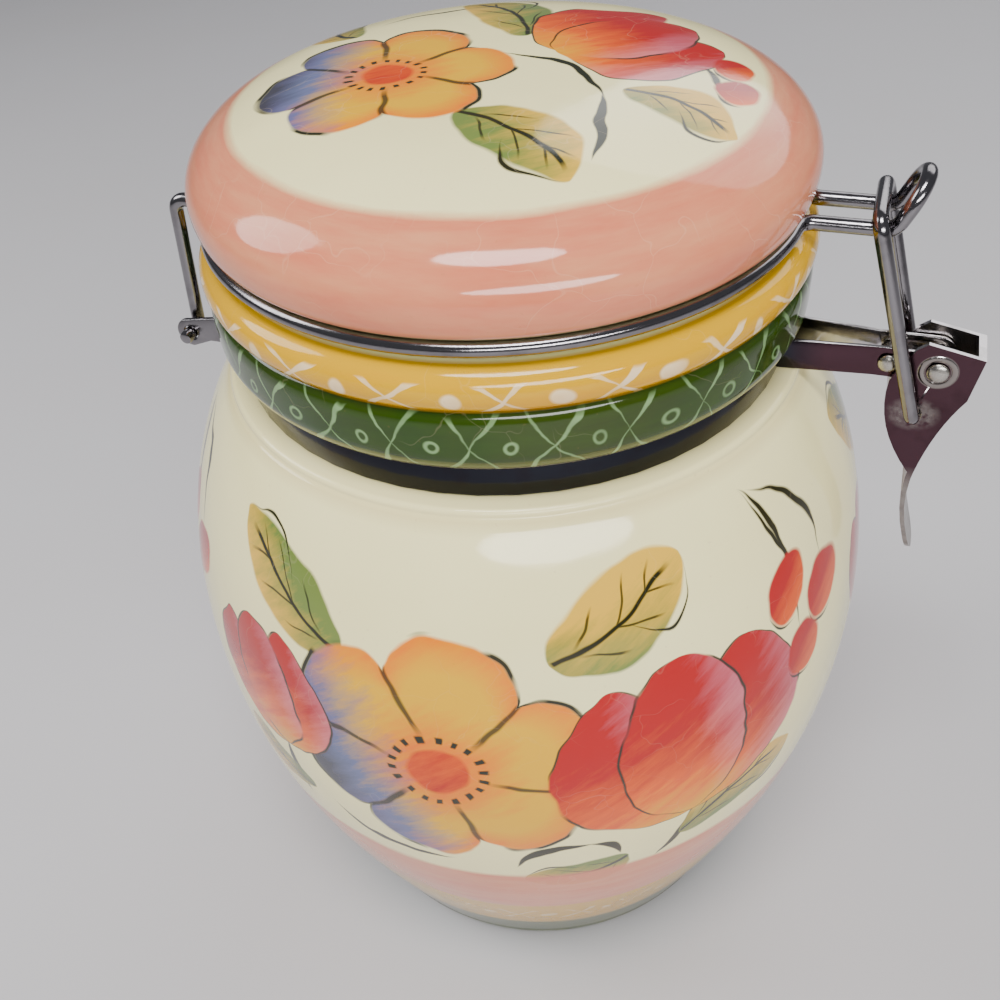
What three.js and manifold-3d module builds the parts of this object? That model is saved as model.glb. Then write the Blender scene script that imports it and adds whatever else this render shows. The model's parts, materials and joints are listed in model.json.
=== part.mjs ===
// A glazed ceramic canister whose lid is held down by a wire bail and a stamped over-centre lever.
// Millimetres, +Z up. The jar's axis is Z, the base rests on Z = 0, the latch is on +X, the hinge on -X.
import * as THREE from 'three';
import { mergeVertices } from 'three/addons/utils/BufferGeometryUtils.js';
import Module from 'manifold-3d';

const wasm = await Module();
wasm.setup();

// Shared fits
const CLEARANCE = 0.3; // between pieces that touch
const HOLE_CLEARANCE = 0.3; // on the radius of a hole round its pin
const TURN_FACETS = 48; // facets round a turned piece
const HOLE_FACETS = 20; // facets round a hole or a rivet
const WIRE_SIDES = 10; // facets round a wire, an even count
const BEND_STEP = Math.PI / 8; // largest turn between two stations of a bent wire
const CUT_LENGTH = 200; // of a cutting bar, more than any piece is wide
const CURVE_STEPS = 8; // facets along a curved edge or a side
const ROUND_STEPS = 4; // facets across a round
const SMALL_STEPS = 3; // and across a smaller one
const WELD = 1e-4; // corners nearer than this are one
const SAME_POINT = 1e-3; // profile points nearer than this are one

// Jar, from the base up
const FOOT_R = 62.5; // outer radius where the side starts
const FOOT_ROUND = 3.5;
const BELLY_R = 85.8;
const BELLY_Z = 104;
const SHOULDER_R = 66; // where the side turns in to the neck
const SHOULDER_DROP = 2.2; // from the neck's foot down to the shoulder's turn
const SHOULDER_LIP_R = 65.2; // bead round the foot of the neck
const SHOULDER_LIP_ROUND = 1.2;
const SHOULDER_LIP_START = -20; // degrees, where the bead leaves the side
const FOOT_FLARE = 0.115; // outward lean of the side at the foot, as a share of the rise to the belly
const FOOT_HANDLE = 0.34; // curve handles of the side, as shares of the rise and of the fall
const BELLY_HANDLE_BELOW = 0.37;
const BELLY_HANDLE_ABOVE = 0.36;
const SHOULDER_FLARE = 0.21;
const SHOULDER_HANDLE = 0.29;
const WALL = 5.5;
const BASE_THICKNESS = 6;
const INNER_SIDE_STEPS = 5; // facets along half of the inner side
const RIM_TOP = 205.5;
const MOUTH_R = 56.5;
const MOUTH_ROUND = 1;
const MOUTH_STEPS = 2;
const RIM_FLAT_R = 61.2; // outer edge of the flat that the gasket rests on
const UPPER_RIDGE_R = 65.2;
const UPPER_RIDGE_HEIGHT = 8.3;
const LOWER_RIDGE_R = 64.8;
const LOWER_RIDGE_HEIGHT = 14.8;
const RIDGE_GROOVE_R = 62.9; // between the two ridges
const UPPER_RIDGE_MIDDLE = 0.45; // widest place, as a share of the ridge's height
const LOWER_RIDGE_BELLY = 0.4; // the lower ridge is straight from here
const LOWER_RIDGE_CROWN = 0.75; // to here
const LOWER_RIDGE_START = -80; // degrees, where the ridge leaves the neck
const NECK_R = 59.8; // floor of the groove that holds the band

// Lid
const LID_R = 63.8;
const LID_HEIGHT = 22.7; // from the rim's lower edge to the crown
const LID_BULGE_Z = 6; // widest place above the rim's lower edge
const LID_SHELL = 7;
const LID_CROWN_POWER = 0.55; // lower is boxier
const CROWN_START = 8; // degrees up the crown's curve
const CROWN_END = 84;
const CROWN_STEPS = 9;
const LID_EDGE_START = -70; // degrees, where the rim's lower edge starts to round
const CEILING_EDGE = 48; // degrees up the crown's curve, where the hollow meets the boss
const BOSS_R = 50; // round boss that centres the gasket
const BOSS_DEPTH = 4; // below the jar's rim
const BOSS_ROUND = 2;
const BOSS_WALL = 7;

// Gasket
const GASKET_THICKNESS = 1.7;
const GASKET_R = 60.2;

// Lid wire: one bent wire, ring, hook in front and two legs behind
const WIRE_D = 3;
const RING_R = 61.7; // wire's centre line
const WIRE_GROOVE_END = 95; // degrees, where the lid's groove leaves the wire
const WIRE_GROOVE_STEPS = 6;
const HOOK_HALF_WIDTH = 5.2;
const RING_RISE = 1.1; // from the lid's seal face to the wire's centre line
const HOOK_REACH = 78.6; // from the jar's axis to the hook's bend
const HOOK_LENGTH = 9.9;
const HOOK_STEPS = 3; // facets across half of the hook's round end
const HOOK_LEAN = 24; // degrees from upright, outwards
const HINGE_LEG_HALF_WIDTH = 20.5;
const HINGE_LEG_REACH = 67.6; // from the jar's axis to the leg's upper bend
const HINGE_X = 71; // from the jar's axis to the hinge pivot
const HINGE_DROP = 28.7; // from the rim's top to the hinge pivot
const HINGE_PIN_END = 27; // from the middle plane to the pin's end
const WIRE_BEND = 3; // centre-line radius of the wire's bends
const PIN_BEND = 2.2;

// Neck band: one steel strip round the neck, its ends turned out as two arms
const BAND_HEIGHT = 6.8;
const BAND_THICKNESS = 0.8;
const ARM_HALF_GAP_NECK = 4.4; // middle plane to an arm's inner face at the neck
const ARM_HALF_GAP_LEVER = 2.65; // and at the lever
const ARM_PAST_PIVOT = 3.3; // from the lever's pivot to the arm's end
const ARM_PARALLEL = 2.8; // straight stretch behind the tie rivet

// Hinge bracket on the back of the band
const BRACKET_THICKNESS = 1;
const BRACKET_STEPS = 16;
const EAR_HALF_GAP = 23.2; // middle plane to an ear's inner face
const EAR_THICKNESS = 1.2;
const EAR_HEIGHT = 7;
const EAR_PAST_PIN = 4.5;

// Lever: a stamped channel with a finger tab
const PIVOT_REACH = 92; // from the jar's axis to the lever's pivot
const LEVER_HALF_WIDTH = 4.8;
const LEVER_SHEET = 1;
const LEVER_WEB_TOP = new THREE.Vector2(8.3, 3.9); // from the pivot, in the plane of the swing
const LEVER_WEB_KNEE = new THREE.Vector2(6.8, -6.1); // where the straight upper web ends
const LEVER_WEB_HANDLE = new THREE.Vector2(2.2, -14);
const LEVER_WEB_BOTTOM = new THREE.Vector2(0.2, -26.5);
const LEVER_PEAK = new THREE.Vector2(-2.8, 6.2);
const LEVER_BROW = new THREE.Vector2(-4.8, 4.6);
const LEVER_HEEL = new THREE.Vector2(-8.8, -3.4);
const LEVER_HEEL_HANDLE = new THREE.Vector2(-10, -15);
const LEVER_TIP_WIDTH = 1.4;
const CHANNEL_OPEN = 6; // how far the channel's cut runs past the open edges
const BAIL_HOLE = new THREE.Vector2(-2.8, -11);
const TAB_LENGTH = 24.5;
const TAB_SWEEP = 3.8; // how far the tab's end stands out from its root
const TAB_LAP = 3; // how far the tab runs up the web
const TAB_SEAM = 0.4; // how far the tab's root stands out from the web
const TAB_DIP = 2.4; // how far the tab first bends in
const TAB_DIP_AT = 0.3; // shares of its length
const TAB_TURN = 1;
const TAB_TURN_AT = 0.55;
const TAB_STEPS = 6;
const TAB_TIP_STEPS = 10;

// Rivets
const PIVOT_RIVET_D = 3.4;
const PIVOT_HEAD_D = 4.4;
const TIE_RIVET_D = 2.6;
const TIE_HEAD_D = 4;
const TIE_GAP = 0.6; // from the lever's edge to the tie rivet's head
const RIVET_HEAD_HEIGHT = 0.9;

// Bail
const BAIL_D = 3;
const BAIL_HALF_WIDTH_TOP = 9; // middle plane to a leg's centre line at the crossbar
const BAIL_HALF_WIDTH_FOOT = 7.5; // and at the lever
const BAIL_BACK = 3; // from the hook's bend back to the crossbar
const BAIL_BEND = 2.6;
const BAIL_TIP = 0.1; // straight end past the last bend

// Levels and places that follow
const NECK_TOP = RIM_TOP - UPPER_RIDGE_HEIGHT - LOWER_RIDGE_HEIGHT;
const BAND_TOP = NECK_TOP - CLEARANCE;
const BAND_BOTTOM = BAND_TOP - BAND_HEIGHT;
const BAND_MIDDLE = (BAND_TOP + BAND_BOTTOM) / 2;
const NECK_FOOT = BAND_BOTTOM - CLEARANCE;
const BAND_INNER_R = NECK_R + CLEARANCE;
const BAND_OUTER_R = BAND_INNER_R + BAND_THICKNESS;
const GASKET_BOTTOM = RIM_TOP + CLEARANCE;
const SEAL_FACE = GASKET_BOTTOM + GASKET_THICKNESS + CLEARANCE;
const WIRE_GROOVE_R = WIRE_D / 2 + CLEARANCE; // round the wire's centre line
const RING_Z = SEAL_FACE + RING_RISE;
const LID_EDGE = RING_Z + WIRE_GROOVE_R;
const HINGE_Z = RIM_TOP - HINGE_DROP;
const BAIL_Z = RING_Z + WIRE_D / 2 + CLEARANCE + BAIL_D / 2;
const BAIL_X = HOOK_REACH - BAIL_BACK;
const LEVER_EDGE_X = THREE.MathUtils.mapLinear(0, LEVER_BROW.y, LEVER_HEEL.y, LEVER_BROW.x, LEVER_HEEL.x);
const TIE_X = PIVOT_REACH + LEVER_EDGE_X - TIE_HEAD_D / 2 - TIE_GAP;
const ARM_END = PIVOT_REACH + ARM_PAST_PIVOT;
const ARM_STRAIGHT_X = TIE_X - ARM_PARALLEL;

const ceramicCream = new THREE.MeshStandardMaterial({ color: 0xe8e2cc, roughness: 0.18, metalness: 0 });
const ceramicPink = new THREE.MeshStandardMaterial({ color: 0xd9a08a, roughness: 0.18, metalness: 0 });
const silicone = new THREE.MeshStandardMaterial({ color: 0xd5dcc6, roughness: 0.6, metalness: 0 });
const steel = new THREE.MeshStandardMaterial({ color: 0xb9bcc2, roughness: 0.2, metalness: 1 });

const canister = new THREE.Group();

// Adds one named piece with a material of its own
function addPiece(name, geometry, material) {
  const mesh = new THREE.Mesh(geometry, material.clone());
  mesh.name = name;
  canister.add(mesh);
}

// Closed geometry as a solid that can be joined and cut
function solidOf(geometry) {
  const bare = geometry.index ? geometry.toNonIndexed() : geometry.clone();
  bare.deleteAttribute('normal');
  bare.deleteAttribute('uv');
  const merged = mergeVertices(bare, WELD);
  const corners = merged.index.array;
  const kept = [];
  for (let i = 0; i < corners.length; i += 3) {
    const [a, b, c] = corners.slice(i, i + 3);
    if (a !== b && b !== c && c !== a) kept.push(a, b, c);
  }
  const vertProperties = new Float32Array(merged.attributes.position.array);
  return new wasm.Manifold(new wasm.Mesh({ numProp: 3, vertProperties, triVerts: new Uint32Array(kept) }));
}

// A solid as plain geometry again
function geometryOf(solid) {
  const { vertProperties, triVerts } = solid.getMesh();
  const geometry = new THREE.BufferGeometry();
  geometry.setAttribute('position', new THREE.BufferAttribute(new Float32Array(vertProperties), 3));
  geometry.setIndex(new THREE.BufferAttribute(new Uint32Array(triVerts), 1));
  geometry.computeVertexNormals();
  return geometry;
}

// A profile of radius and height turned round Z
function turned(profile) {
  const lathe = new THREE.LatheGeometry(profile, TURN_FACETS);
  lathe.rotateX(Math.PI / 2);
  return geometryOf(solidOf(lathe));
}

// A shape drawn in X and Z, as a plate of the given width about the middle plane
function plate(shape, width, curveSegments = CURVE_STEPS) {
  const sheet = new THREE.ExtrudeGeometry(shape, { depth: width, bevelEnabled: false, curveSegments });
  sheet.translate(0, 0, -width / 2);
  sheet.rotateX(Math.PI / 2);
  return sheet;
}

// A shape drawn in X and Y, standing from one level to another
function upright(shape, bottom, top, curveSegments) {
  const block = new THREE.ExtrudeGeometry(shape, { depth: top - bottom, bevelEnabled: false, curveSegments });
  block.translate(0, 0, bottom);
  return block;
}

// A round bar along Y through a point of the middle plane
function crossBar(radius, x, z) {
  const bar = new THREE.CylinderGeometry(radius, radius, CUT_LENGTH, HOLE_FACETS);
  bar.translate(x, 0, z);
  return solidOf(bar);
}

// Points of a quarter or half ellipse, angles in degrees from the +r side
function arc(r, z, across, up, from, to, steps) {
  return Array.from({ length: steps + 1 }, (_, i) => {
    const angle = THREE.MathUtils.degToRad(from + ((to - from) * i) / steps);
    return new THREE.Vector2(r + across * Math.cos(angle), z + up * Math.sin(angle));
  });
}

// Points of a cubic curve between two points with their handles
function cubic(a, b, c, d, steps) {
  return new THREE.CubicBezierCurve(a, b, c, d).getPoints(steps);
}

// Drops points that repeat their neighbour
function tidied(points) {
  return points.filter((p, i) => i === 0 || p.distanceTo(points[i - 1]) > SAME_POINT);
}

// Centre line of a wire bent at its corners; every corner is a point and its bend radius
class BentWire extends THREE.Curve {
  constructor(corners) {
    super();
    this.stations = corners.flatMap(({ at, bend }, i) => {
      if (!bend) return [at];
      const back = corners[i - 1].at.clone().sub(at).normalize();
      const on = corners[i + 1].at.clone().sub(at).normalize();
      const turn = Math.PI - back.angleTo(on);
      const steps = Math.max(2, Math.ceil(turn / BEND_STEP));
      const middle = back.clone().add(on).normalize();
      const centre = at.clone().addScaledVector(middle, bend / Math.cos(turn / 2));
      const side = on.clone().sub(back).normalize();
      return Array.from({ length: steps + 1 }, (_, k) => {
        const angle = turn * (k / steps - 0.5);
        return centre.clone()
          .addScaledVector(middle, -bend * Math.cos(angle))
          .addScaledVector(side, bend * Math.sin(angle));
      });
    });
  }

  getPoint(t) {
    const place = t * (this.stations.length - 1);
    const i = Math.min(Math.round(place), this.stations.length - 1);
    return this.stations[i].clone();
  }

  getPointAt(u) {
    return this.getPoint(u);
  }

  getTangentAt(u) {
    const last = this.stations.length - 1;
    const i = Math.round(u * last);
    const before = this.stations[i].clone().sub(this.stations[Math.max(i - 1, 0)]).normalize();
    const after = this.stations[Math.min(i + 1, last)].clone().sub(this.stations[i]).normalize();
    return before.add(after).normalize();
  }
}

// A round wire along its corners
function wire(corners, diameter) {
  const path = new BentWire(corners);
  const section = new THREE.Shape();
  section.absarc(0, 0, diameter / 2, 0, 2 * Math.PI);
  const steps = path.stations.length - 1;
  return new THREE.ExtrudeGeometry(section, { steps, extrudePath: path, curveSegments: WIRE_SIDES / 2 });
}

// Corners of one side of a wire followed by their mirror across the middle plane
function mirrored(corners) {
  const far = corners.map(({ at, bend }) => ({ at: at.clone().multiply(new THREE.Vector3(1, -1, 1)), bend }));
  return [...corners, ...far.reverse()];
}

function corner(x, y, z, bend = 0) {
  return { at: new THREE.Vector3(x, y, z), bend };
}

// The side of the jar from the foot to the neck; inset moves it inwards for the inner wall
function jarSide(inset, bottom, steps) {
  const v = (r, z) => new THREE.Vector2(r - inset, z);
  const shoulder = NECK_FOOT - SHOULDER_DROP;
  const rise = BELLY_Z - bottom;
  const fall = shoulder - BELLY_Z;
  const lower = cubic(
    v(FOOT_R, bottom), v(FOOT_R + FOOT_FLARE * rise, bottom + FOOT_HANDLE * rise),
    v(BELLY_R, BELLY_Z - BELLY_HANDLE_BELOW * rise), v(BELLY_R, BELLY_Z), steps);
  const upper = cubic(
    v(BELLY_R, BELLY_Z), v(BELLY_R, BELLY_Z + BELLY_HANDLE_ABOVE * fall),
    v(SHOULDER_R + SHOULDER_FLARE * fall, shoulder - SHOULDER_HANDLE * fall), v(SHOULDER_R, shoulder), steps);
  return [...lower, ...upper];
}

function jar() {
  const v = (r, z) => new THREE.Vector2(r, z);
  const groove = RIM_TOP - UPPER_RIDGE_HEIGHT;
  const upperMiddle = groove + UPPER_RIDGE_HEIGHT * UPPER_RIDGE_MIDDLE;
  const lowerBelly = NECK_TOP + LOWER_RIDGE_HEIGHT * LOWER_RIDGE_BELLY;
  const lowerCrown = NECK_TOP + LOWER_RIDGE_HEIGHT * LOWER_RIDGE_CROWN;
  const lip = SHOULDER_LIP_ROUND;
  const outside = [
    v(0, 0),
    ...arc(FOOT_R - FOOT_ROUND, FOOT_ROUND, FOOT_ROUND, FOOT_ROUND, -90, 0, SMALL_STEPS),
    ...jarSide(0, FOOT_ROUND, CURVE_STEPS),
    ...arc(SHOULDER_LIP_R - lip, NECK_FOOT - lip, lip, lip, SHOULDER_LIP_START, 90, ROUND_STEPS),
    v(NECK_R, NECK_FOOT),
    v(NECK_R, NECK_TOP),
    ...arc(
      NECK_R, lowerBelly, LOWER_RIDGE_R - NECK_R, lowerBelly - NECK_TOP, LOWER_RIDGE_START, 0, ROUND_STEPS),
    ...arc(
      RIDGE_GROOVE_R, lowerCrown, LOWER_RIDGE_R - RIDGE_GROOVE_R, groove - lowerCrown, 0, 90, SMALL_STEPS),
    ...arc(
      RIDGE_GROOVE_R, upperMiddle, UPPER_RIDGE_R - RIDGE_GROOVE_R, upperMiddle - groove, -90, 0, SMALL_STEPS),
    ...arc(RIM_FLAT_R, upperMiddle, UPPER_RIDGE_R - RIM_FLAT_R, RIM_TOP - upperMiddle, 0, 90, ROUND_STEPS),
  ];
  const neckInner = NECK_FOOT - WALL;
  const inside = [
    ...arc(MOUTH_R + MOUTH_ROUND, RIM_TOP - MOUTH_ROUND, MOUTH_ROUND, MOUTH_ROUND, 90, 180, MOUTH_STEPS),
    v(MOUTH_R, neckInner),
    ...jarSide(WALL, BASE_THICKNESS, INNER_SIDE_STEPS).reverse().filter((p) => p.y < neckInner - WALL),
    v(0, BASE_THICKNESS),
  ];
  return turned(tidied([...outside, ...inside]));
}

function lid() {
  const v = (r, z) => new THREE.Vector2(r, z);
  const bulge = LID_EDGE + LID_BULGE_Z;
  const crown = LID_EDGE + LID_HEIGHT;
  const edgeR = RING_R - CLEARANCE;
  const shell = (thickness, from, to, steps) => Array.from({ length: steps + 1 }, (_, i) => {
    const angle = THREE.MathUtils.degToRad(from + ((to - from) * i) / steps);
    const r = (LID_R - thickness) * Math.cos(angle) ** LID_CROWN_POWER;
    return v(r, bulge + (crown - thickness - bulge) * Math.sin(angle));
  });
  const bossBottom = RIM_TOP - BOSS_DEPTH;
  const hollowR = BOSS_R - BOSS_WALL;
  const ceiling = shell(LID_SHELL, 90, CEILING_EDGE, ROUND_STEPS)
    .slice(1)
    .filter((p) => p.x < hollowR - CLEARANCE);
  const grooveStart = THREE.MathUtils.radToDeg(Math.PI + Math.asin(RING_RISE / WIRE_GROOVE_R));
  const outline = [
    v(0, crown - LID_SHELL),
    ...ceiling,
    v(hollowR, ceiling[ceiling.length - 1].y - BOSS_WALL / 2),
    v(hollowR, bossBottom),
    ...arc(BOSS_R - BOSS_ROUND, bossBottom + BOSS_ROUND, BOSS_ROUND, BOSS_ROUND, -90, 0, SMALL_STEPS),
    v(BOSS_R, SEAL_FACE),
    ...arc(RING_R, RING_Z, WIRE_GROOVE_R, WIRE_GROOVE_R, grooveStart, WIRE_GROOVE_END, WIRE_GROOVE_STEPS),
    v(edgeR, LID_EDGE),
    ...arc(edgeR, bulge, LID_R - edgeR, LID_BULGE_Z, LID_EDGE_START, 0, ROUND_STEPS),
    ...shell(0, CROWN_START, CROWN_END, CROWN_STEPS),
    v(0, crown),
  ];
  return turned(tidied(outline));
}

function gasket() {
  const inner = BOSS_R + CLEARANCE;
  const round = GASKET_THICKNESS / 2;
  const middle = GASKET_BOTTOM + round;
  const ring = [
    ...arc(GASKET_R - round, middle, round, round, -90, 90, ROUND_STEPS),
    ...arc(inner + round, middle, round, round, 90, 270, ROUND_STEPS),
  ];
  ring.push(ring[0].clone());
  return turned(tidied(ring));
}

function lidWire() {
  const rearStart = Math.atan2(-HINGE_LEG_HALF_WIDTH, -Math.sqrt(RING_R ** 2 - HINGE_LEG_HALF_WIDTH ** 2));
  const frontEnd = -Math.asin(HOOK_HALF_WIDTH / RING_R);
  const ringSteps = Math.round((frontEnd - rearStart) / ((2 * Math.PI) / TURN_FACETS));
  const onRing = (angle, bend) => corner(RING_R * Math.cos(angle), RING_R * Math.sin(angle), RING_Z, bend);
  const lean = THREE.MathUtils.degToRad(HOOK_LEAN);
  const onHook = (y, along, bend) => corner(
    HOOK_REACH + along * Math.sin(lean), y, RING_Z + along * Math.cos(lean), bend);
  const straight = HOOK_LENGTH - HOOK_HALF_WIDTH;
  const near = [
    corner(-HINGE_X, -HINGE_PIN_END, HINGE_Z),
    corner(-HINGE_X, -HINGE_LEG_HALF_WIDTH, HINGE_Z, PIN_BEND),
    corner(-HINGE_LEG_REACH, -HINGE_LEG_HALF_WIDTH, RING_Z, WIRE_BEND),
    ...Array.from({ length: ringSteps + 1 }, (_, i) => {
      const end = i === 0 || i === ringSteps;
      return onRing(rearStart + ((frontEnd - rearStart) * i) / ringSteps, end ? WIRE_BEND : 0);
    }),
    onHook(-HOOK_HALF_WIDTH, 0, WIRE_BEND),
    ...Array.from({ length: HOOK_STEPS }, (_, i) => {
      const angle = ((Math.PI / 2) * i) / HOOK_STEPS;
      return onHook(-HOOK_HALF_WIDTH * Math.cos(angle), straight + HOOK_HALF_WIDTH * Math.sin(angle));
    }),
  ];
  const top = onHook(0, HOOK_LENGTH);
  const both = mirrored(near);
  both.splice(near.length, 0, top);
  return geometryOf(solidOf(wire(both, WIRE_D)));
}

// Plan outline of the band: both faces of the strip, arms included
function bandPlan() {
  const faceGap = (innerFace) => (innerFace ? 0 : BAND_THICKNESS);
  const plan = new THREE.Shape();
  const neckY = (inner) => ARM_HALF_GAP_NECK + faceGap(inner);
  const leverY = (inner) => ARM_HALF_GAP_LEVER + faceGap(inner);
  const turn = (radius, inner) => Math.asin(neckY(inner) / radius);
  const outerTurn = turn(BAND_OUTER_R, false);
  const innerTurn = turn(BAND_INNER_R, true);
  plan.moveTo(ARM_END, -leverY(false));
  plan.lineTo(ARM_STRAIGHT_X, -leverY(false));
  plan.absarc(0, 0, BAND_OUTER_R, -outerTurn, outerTurn, true);
  plan.lineTo(ARM_STRAIGHT_X, leverY(false));
  plan.lineTo(ARM_END, leverY(false));
  plan.lineTo(ARM_END, leverY(true));
  plan.lineTo(ARM_STRAIGHT_X, leverY(true));
  plan.absarc(0, 0, BAND_INNER_R, innerTurn, -innerTurn, false);
  plan.lineTo(ARM_STRAIGHT_X, -leverY(true));
  plan.lineTo(ARM_END, -leverY(true));
  return plan;
}

function neckBand() {
  const strip = solidOf(upright(bandPlan(), BAND_BOTTOM, BAND_TOP, TURN_FACETS / 2));
  const roundEnd = new THREE.Shape();
  const endR = BAND_HEIGHT / 2;
  const back = -CUT_LENGTH;
  roundEnd.moveTo(back, BAND_BOTTOM);
  roundEnd.lineTo(ARM_END - endR, BAND_BOTTOM);
  roundEnd.absarc(ARM_END - endR, BAND_MIDDLE, endR, -Math.PI / 2, Math.PI / 2, false);
  roundEnd.lineTo(back, BAND_TOP);
  const keep = solidOf(plate(roundEnd, CUT_LENGTH));
  const pivotHole = crossBar(PIVOT_RIVET_D / 2 + HOLE_CLEARANCE, PIVOT_REACH, BAND_MIDDLE);
  const tieHole = crossBar(TIE_RIVET_D / 2 + HOLE_CLEARANCE, TIE_X, BAND_MIDDLE);
  return geometryOf(strip.intersect(keep).subtract(pivotHole).subtract(tieHole));
}

// Plate bent round the back of the band with an ear turned out at each end
function hingeBracket() {
  const innerR = BAND_OUTER_R + CLEARANCE;
  const outerR = innerR + BRACKET_THICKNESS;
  const earOuter = EAR_HALF_GAP + EAR_THICKNESS;
  const end = -HINGE_X - EAR_PAST_PIN;
  const plan = new THREE.Shape();
  const rear = (y, r) => Math.PI - Math.asin(y / r);
  plan.moveTo(end, earOuter);
  plan.lineTo(end, EAR_HALF_GAP);
  plan.absarc(0, 0, outerR, rear(EAR_HALF_GAP, outerR), -rear(EAR_HALF_GAP, outerR), false);
  plan.lineTo(end, -EAR_HALF_GAP);
  plan.lineTo(end, -earOuter);
  plan.absarc(0, 0, innerR, -rear(earOuter, innerR), rear(earOuter, innerR), true);
  const bottom = Math.min(HINGE_Z - EAR_HEIGHT / 2, BAND_BOTTOM);
  const blank = solidOf(upright(plan, bottom, BAND_TOP, BRACKET_STEPS));
  const side = new THREE.Shape();
  side.moveTo(-HINGE_X, HINGE_Z + EAR_HEIGHT / 2);
  side.absarc(-HINGE_X, HINGE_Z, EAR_HEIGHT / 2, Math.PI / 2, 1.5 * Math.PI, false);
  side.lineTo(-SHOULDER_R, BAND_BOTTOM);
  side.lineTo(0, BAND_BOTTOM);
  side.lineTo(0, BAND_TOP);
  side.lineTo(-BAND_OUTER_R, BAND_TOP);
  const keep = solidOf(plate(side, CUT_LENGTH));
  const hole = crossBar(WIRE_D / 2 + HOLE_CLEARANCE, -HINGE_X, HINGE_Z);
  return geometryOf(blank.intersect(keep).subtract(hole));
}

// Side outline of the lever's flanges about the pivot; inset thins it along the web and opens the other edges
function leverOutline(inset) {
  const open = inset ? CHANNEL_OPEN : 0;
  const outline = new THREE.Shape();
  outline.moveTo(LEVER_WEB_BOTTOM.x - inset, LEVER_WEB_BOTTOM.y - open);
  outline.quadraticCurveTo(
    LEVER_WEB_HANDLE.x - inset, LEVER_WEB_HANDLE.y, LEVER_WEB_KNEE.x - inset, LEVER_WEB_KNEE.y);
  outline.lineTo(LEVER_WEB_TOP.x - inset, LEVER_WEB_TOP.y + open);
  outline.lineTo(LEVER_PEAK.x - open, LEVER_PEAK.y + open);
  outline.lineTo(LEVER_BROW.x - open, LEVER_BROW.y);
  outline.lineTo(LEVER_HEEL.x - open, LEVER_HEEL.y);
  outline.quadraticCurveTo(
    LEVER_HEEL_HANDLE.x - open, LEVER_HEEL_HANDLE.y,
    LEVER_WEB_BOTTOM.x - LEVER_TIP_WIDTH - open, LEVER_WEB_BOTTOM.y - open);
  return outline;
}

// Finger tab: a thin tongue that leaves the web's lower end, bends in and sweeps outwards
function fingerTab() {
  const root = LEVER_WEB_BOTTOM;
  const end = new THREE.Vector2(root.x + TAB_SWEEP, root.y - TAB_LENGTH);
  const dip = new THREE.Vector2(root.x - TAB_DIP, root.y - TAB_DIP_AT * TAB_LENGTH);
  const bend = new THREE.Vector2(root.x - TAB_TURN, root.y - TAB_TURN_AT * TAB_LENGTH);
  const top = root.y + TAB_LAP;
  const side = new THREE.Shape();
  side.moveTo(root.x - LEVER_SHEET, top);
  side.bezierCurveTo(dip.x, dip.y, bend.x, bend.y, end.x - LEVER_SHEET, end.y);
  side.lineTo(end.x, end.y);
  side.bezierCurveTo(bend.x + LEVER_SHEET, bend.y, dip.x + LEVER_SHEET, dip.y, root.x + TAB_SEAM, top);
  const blade = solidOf(plate(side, 2 * LEVER_HALF_WIDTH, TAB_STEPS));
  const tipR = LEVER_HALF_WIDTH;
  const face = new THREE.Shape();
  face.moveTo(-tipR, top);
  face.lineTo(-tipR, end.y + tipR);
  face.absarc(0, end.y + tipR, tipR, Math.PI, 2 * Math.PI, false);
  face.lineTo(tipR, top);
  const round = upright(face, 0, CUT_LENGTH, TAB_TIP_STEPS);
  round.rotateX(Math.PI / 2);
  round.rotateZ(Math.PI / 2);
  round.translate(-CUT_LENGTH / 2, 0, 0);
  return blade.intersect(solidOf(round));
}

function lever() {
  const block = solidOf(plate(leverOutline(0), 2 * LEVER_HALF_WIDTH));
  const channel = solidOf(plate(leverOutline(LEVER_SHEET), 2 * (LEVER_HALF_WIDTH - LEVER_SHEET)));
  const pivotHole = crossBar(PIVOT_RIVET_D / 2 + HOLE_CLEARANCE, 0, 0);
  const bailHole = crossBar(BAIL_D / 2 + HOLE_CLEARANCE, BAIL_HOLE.x, BAIL_HOLE.y);
  const stamped = block.subtract(channel).add(fingerTab()).subtract(pivotHole).subtract(bailHole);
  const geometry = geometryOf(stamped);
  geometry.translate(PIVOT_REACH, 0, BAND_MIDDLE);
  return geometry;
}

// A rivet along Y with a low domed head at each end; grip is the distance under the heads
function rivet(diameter, headDiameter, grip) {
  const half = grip / 2;
  const v = (r, z) => new THREE.Vector2(r, z);
  const dome = arc(0, half, headDiameter / 2, RIVET_HEAD_HEIGHT, 0, 90, ROUND_STEPS);
  const upper = [v(diameter / 2, half), ...dome];
  const lower = upper.map((p) => v(p.x, -p.y)).reverse();
  lower[0].x = 0;
  upper[upper.length - 1].x = 0;
  const lathe = new THREE.LatheGeometry(tidied([...lower, ...upper]), HOLE_FACETS);
  return geometryOf(solidOf(lathe));
}

function pivotRivet() {
  const geometry = rivet(PIVOT_RIVET_D, PIVOT_HEAD_D, 2 * (LEVER_HALF_WIDTH + CLEARANCE));
  geometry.translate(PIVOT_REACH, 0, BAND_MIDDLE);
  return geometry;
}

function tieRivet() {
  const geometry = rivet(TIE_RIVET_D, TIE_HEAD_D, 2 * (ARM_HALF_GAP_LEVER + BAND_THICKNESS + CLEARANCE));
  geometry.translate(TIE_X, 0, BAND_MIDDLE);
  return geometry;
}

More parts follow.
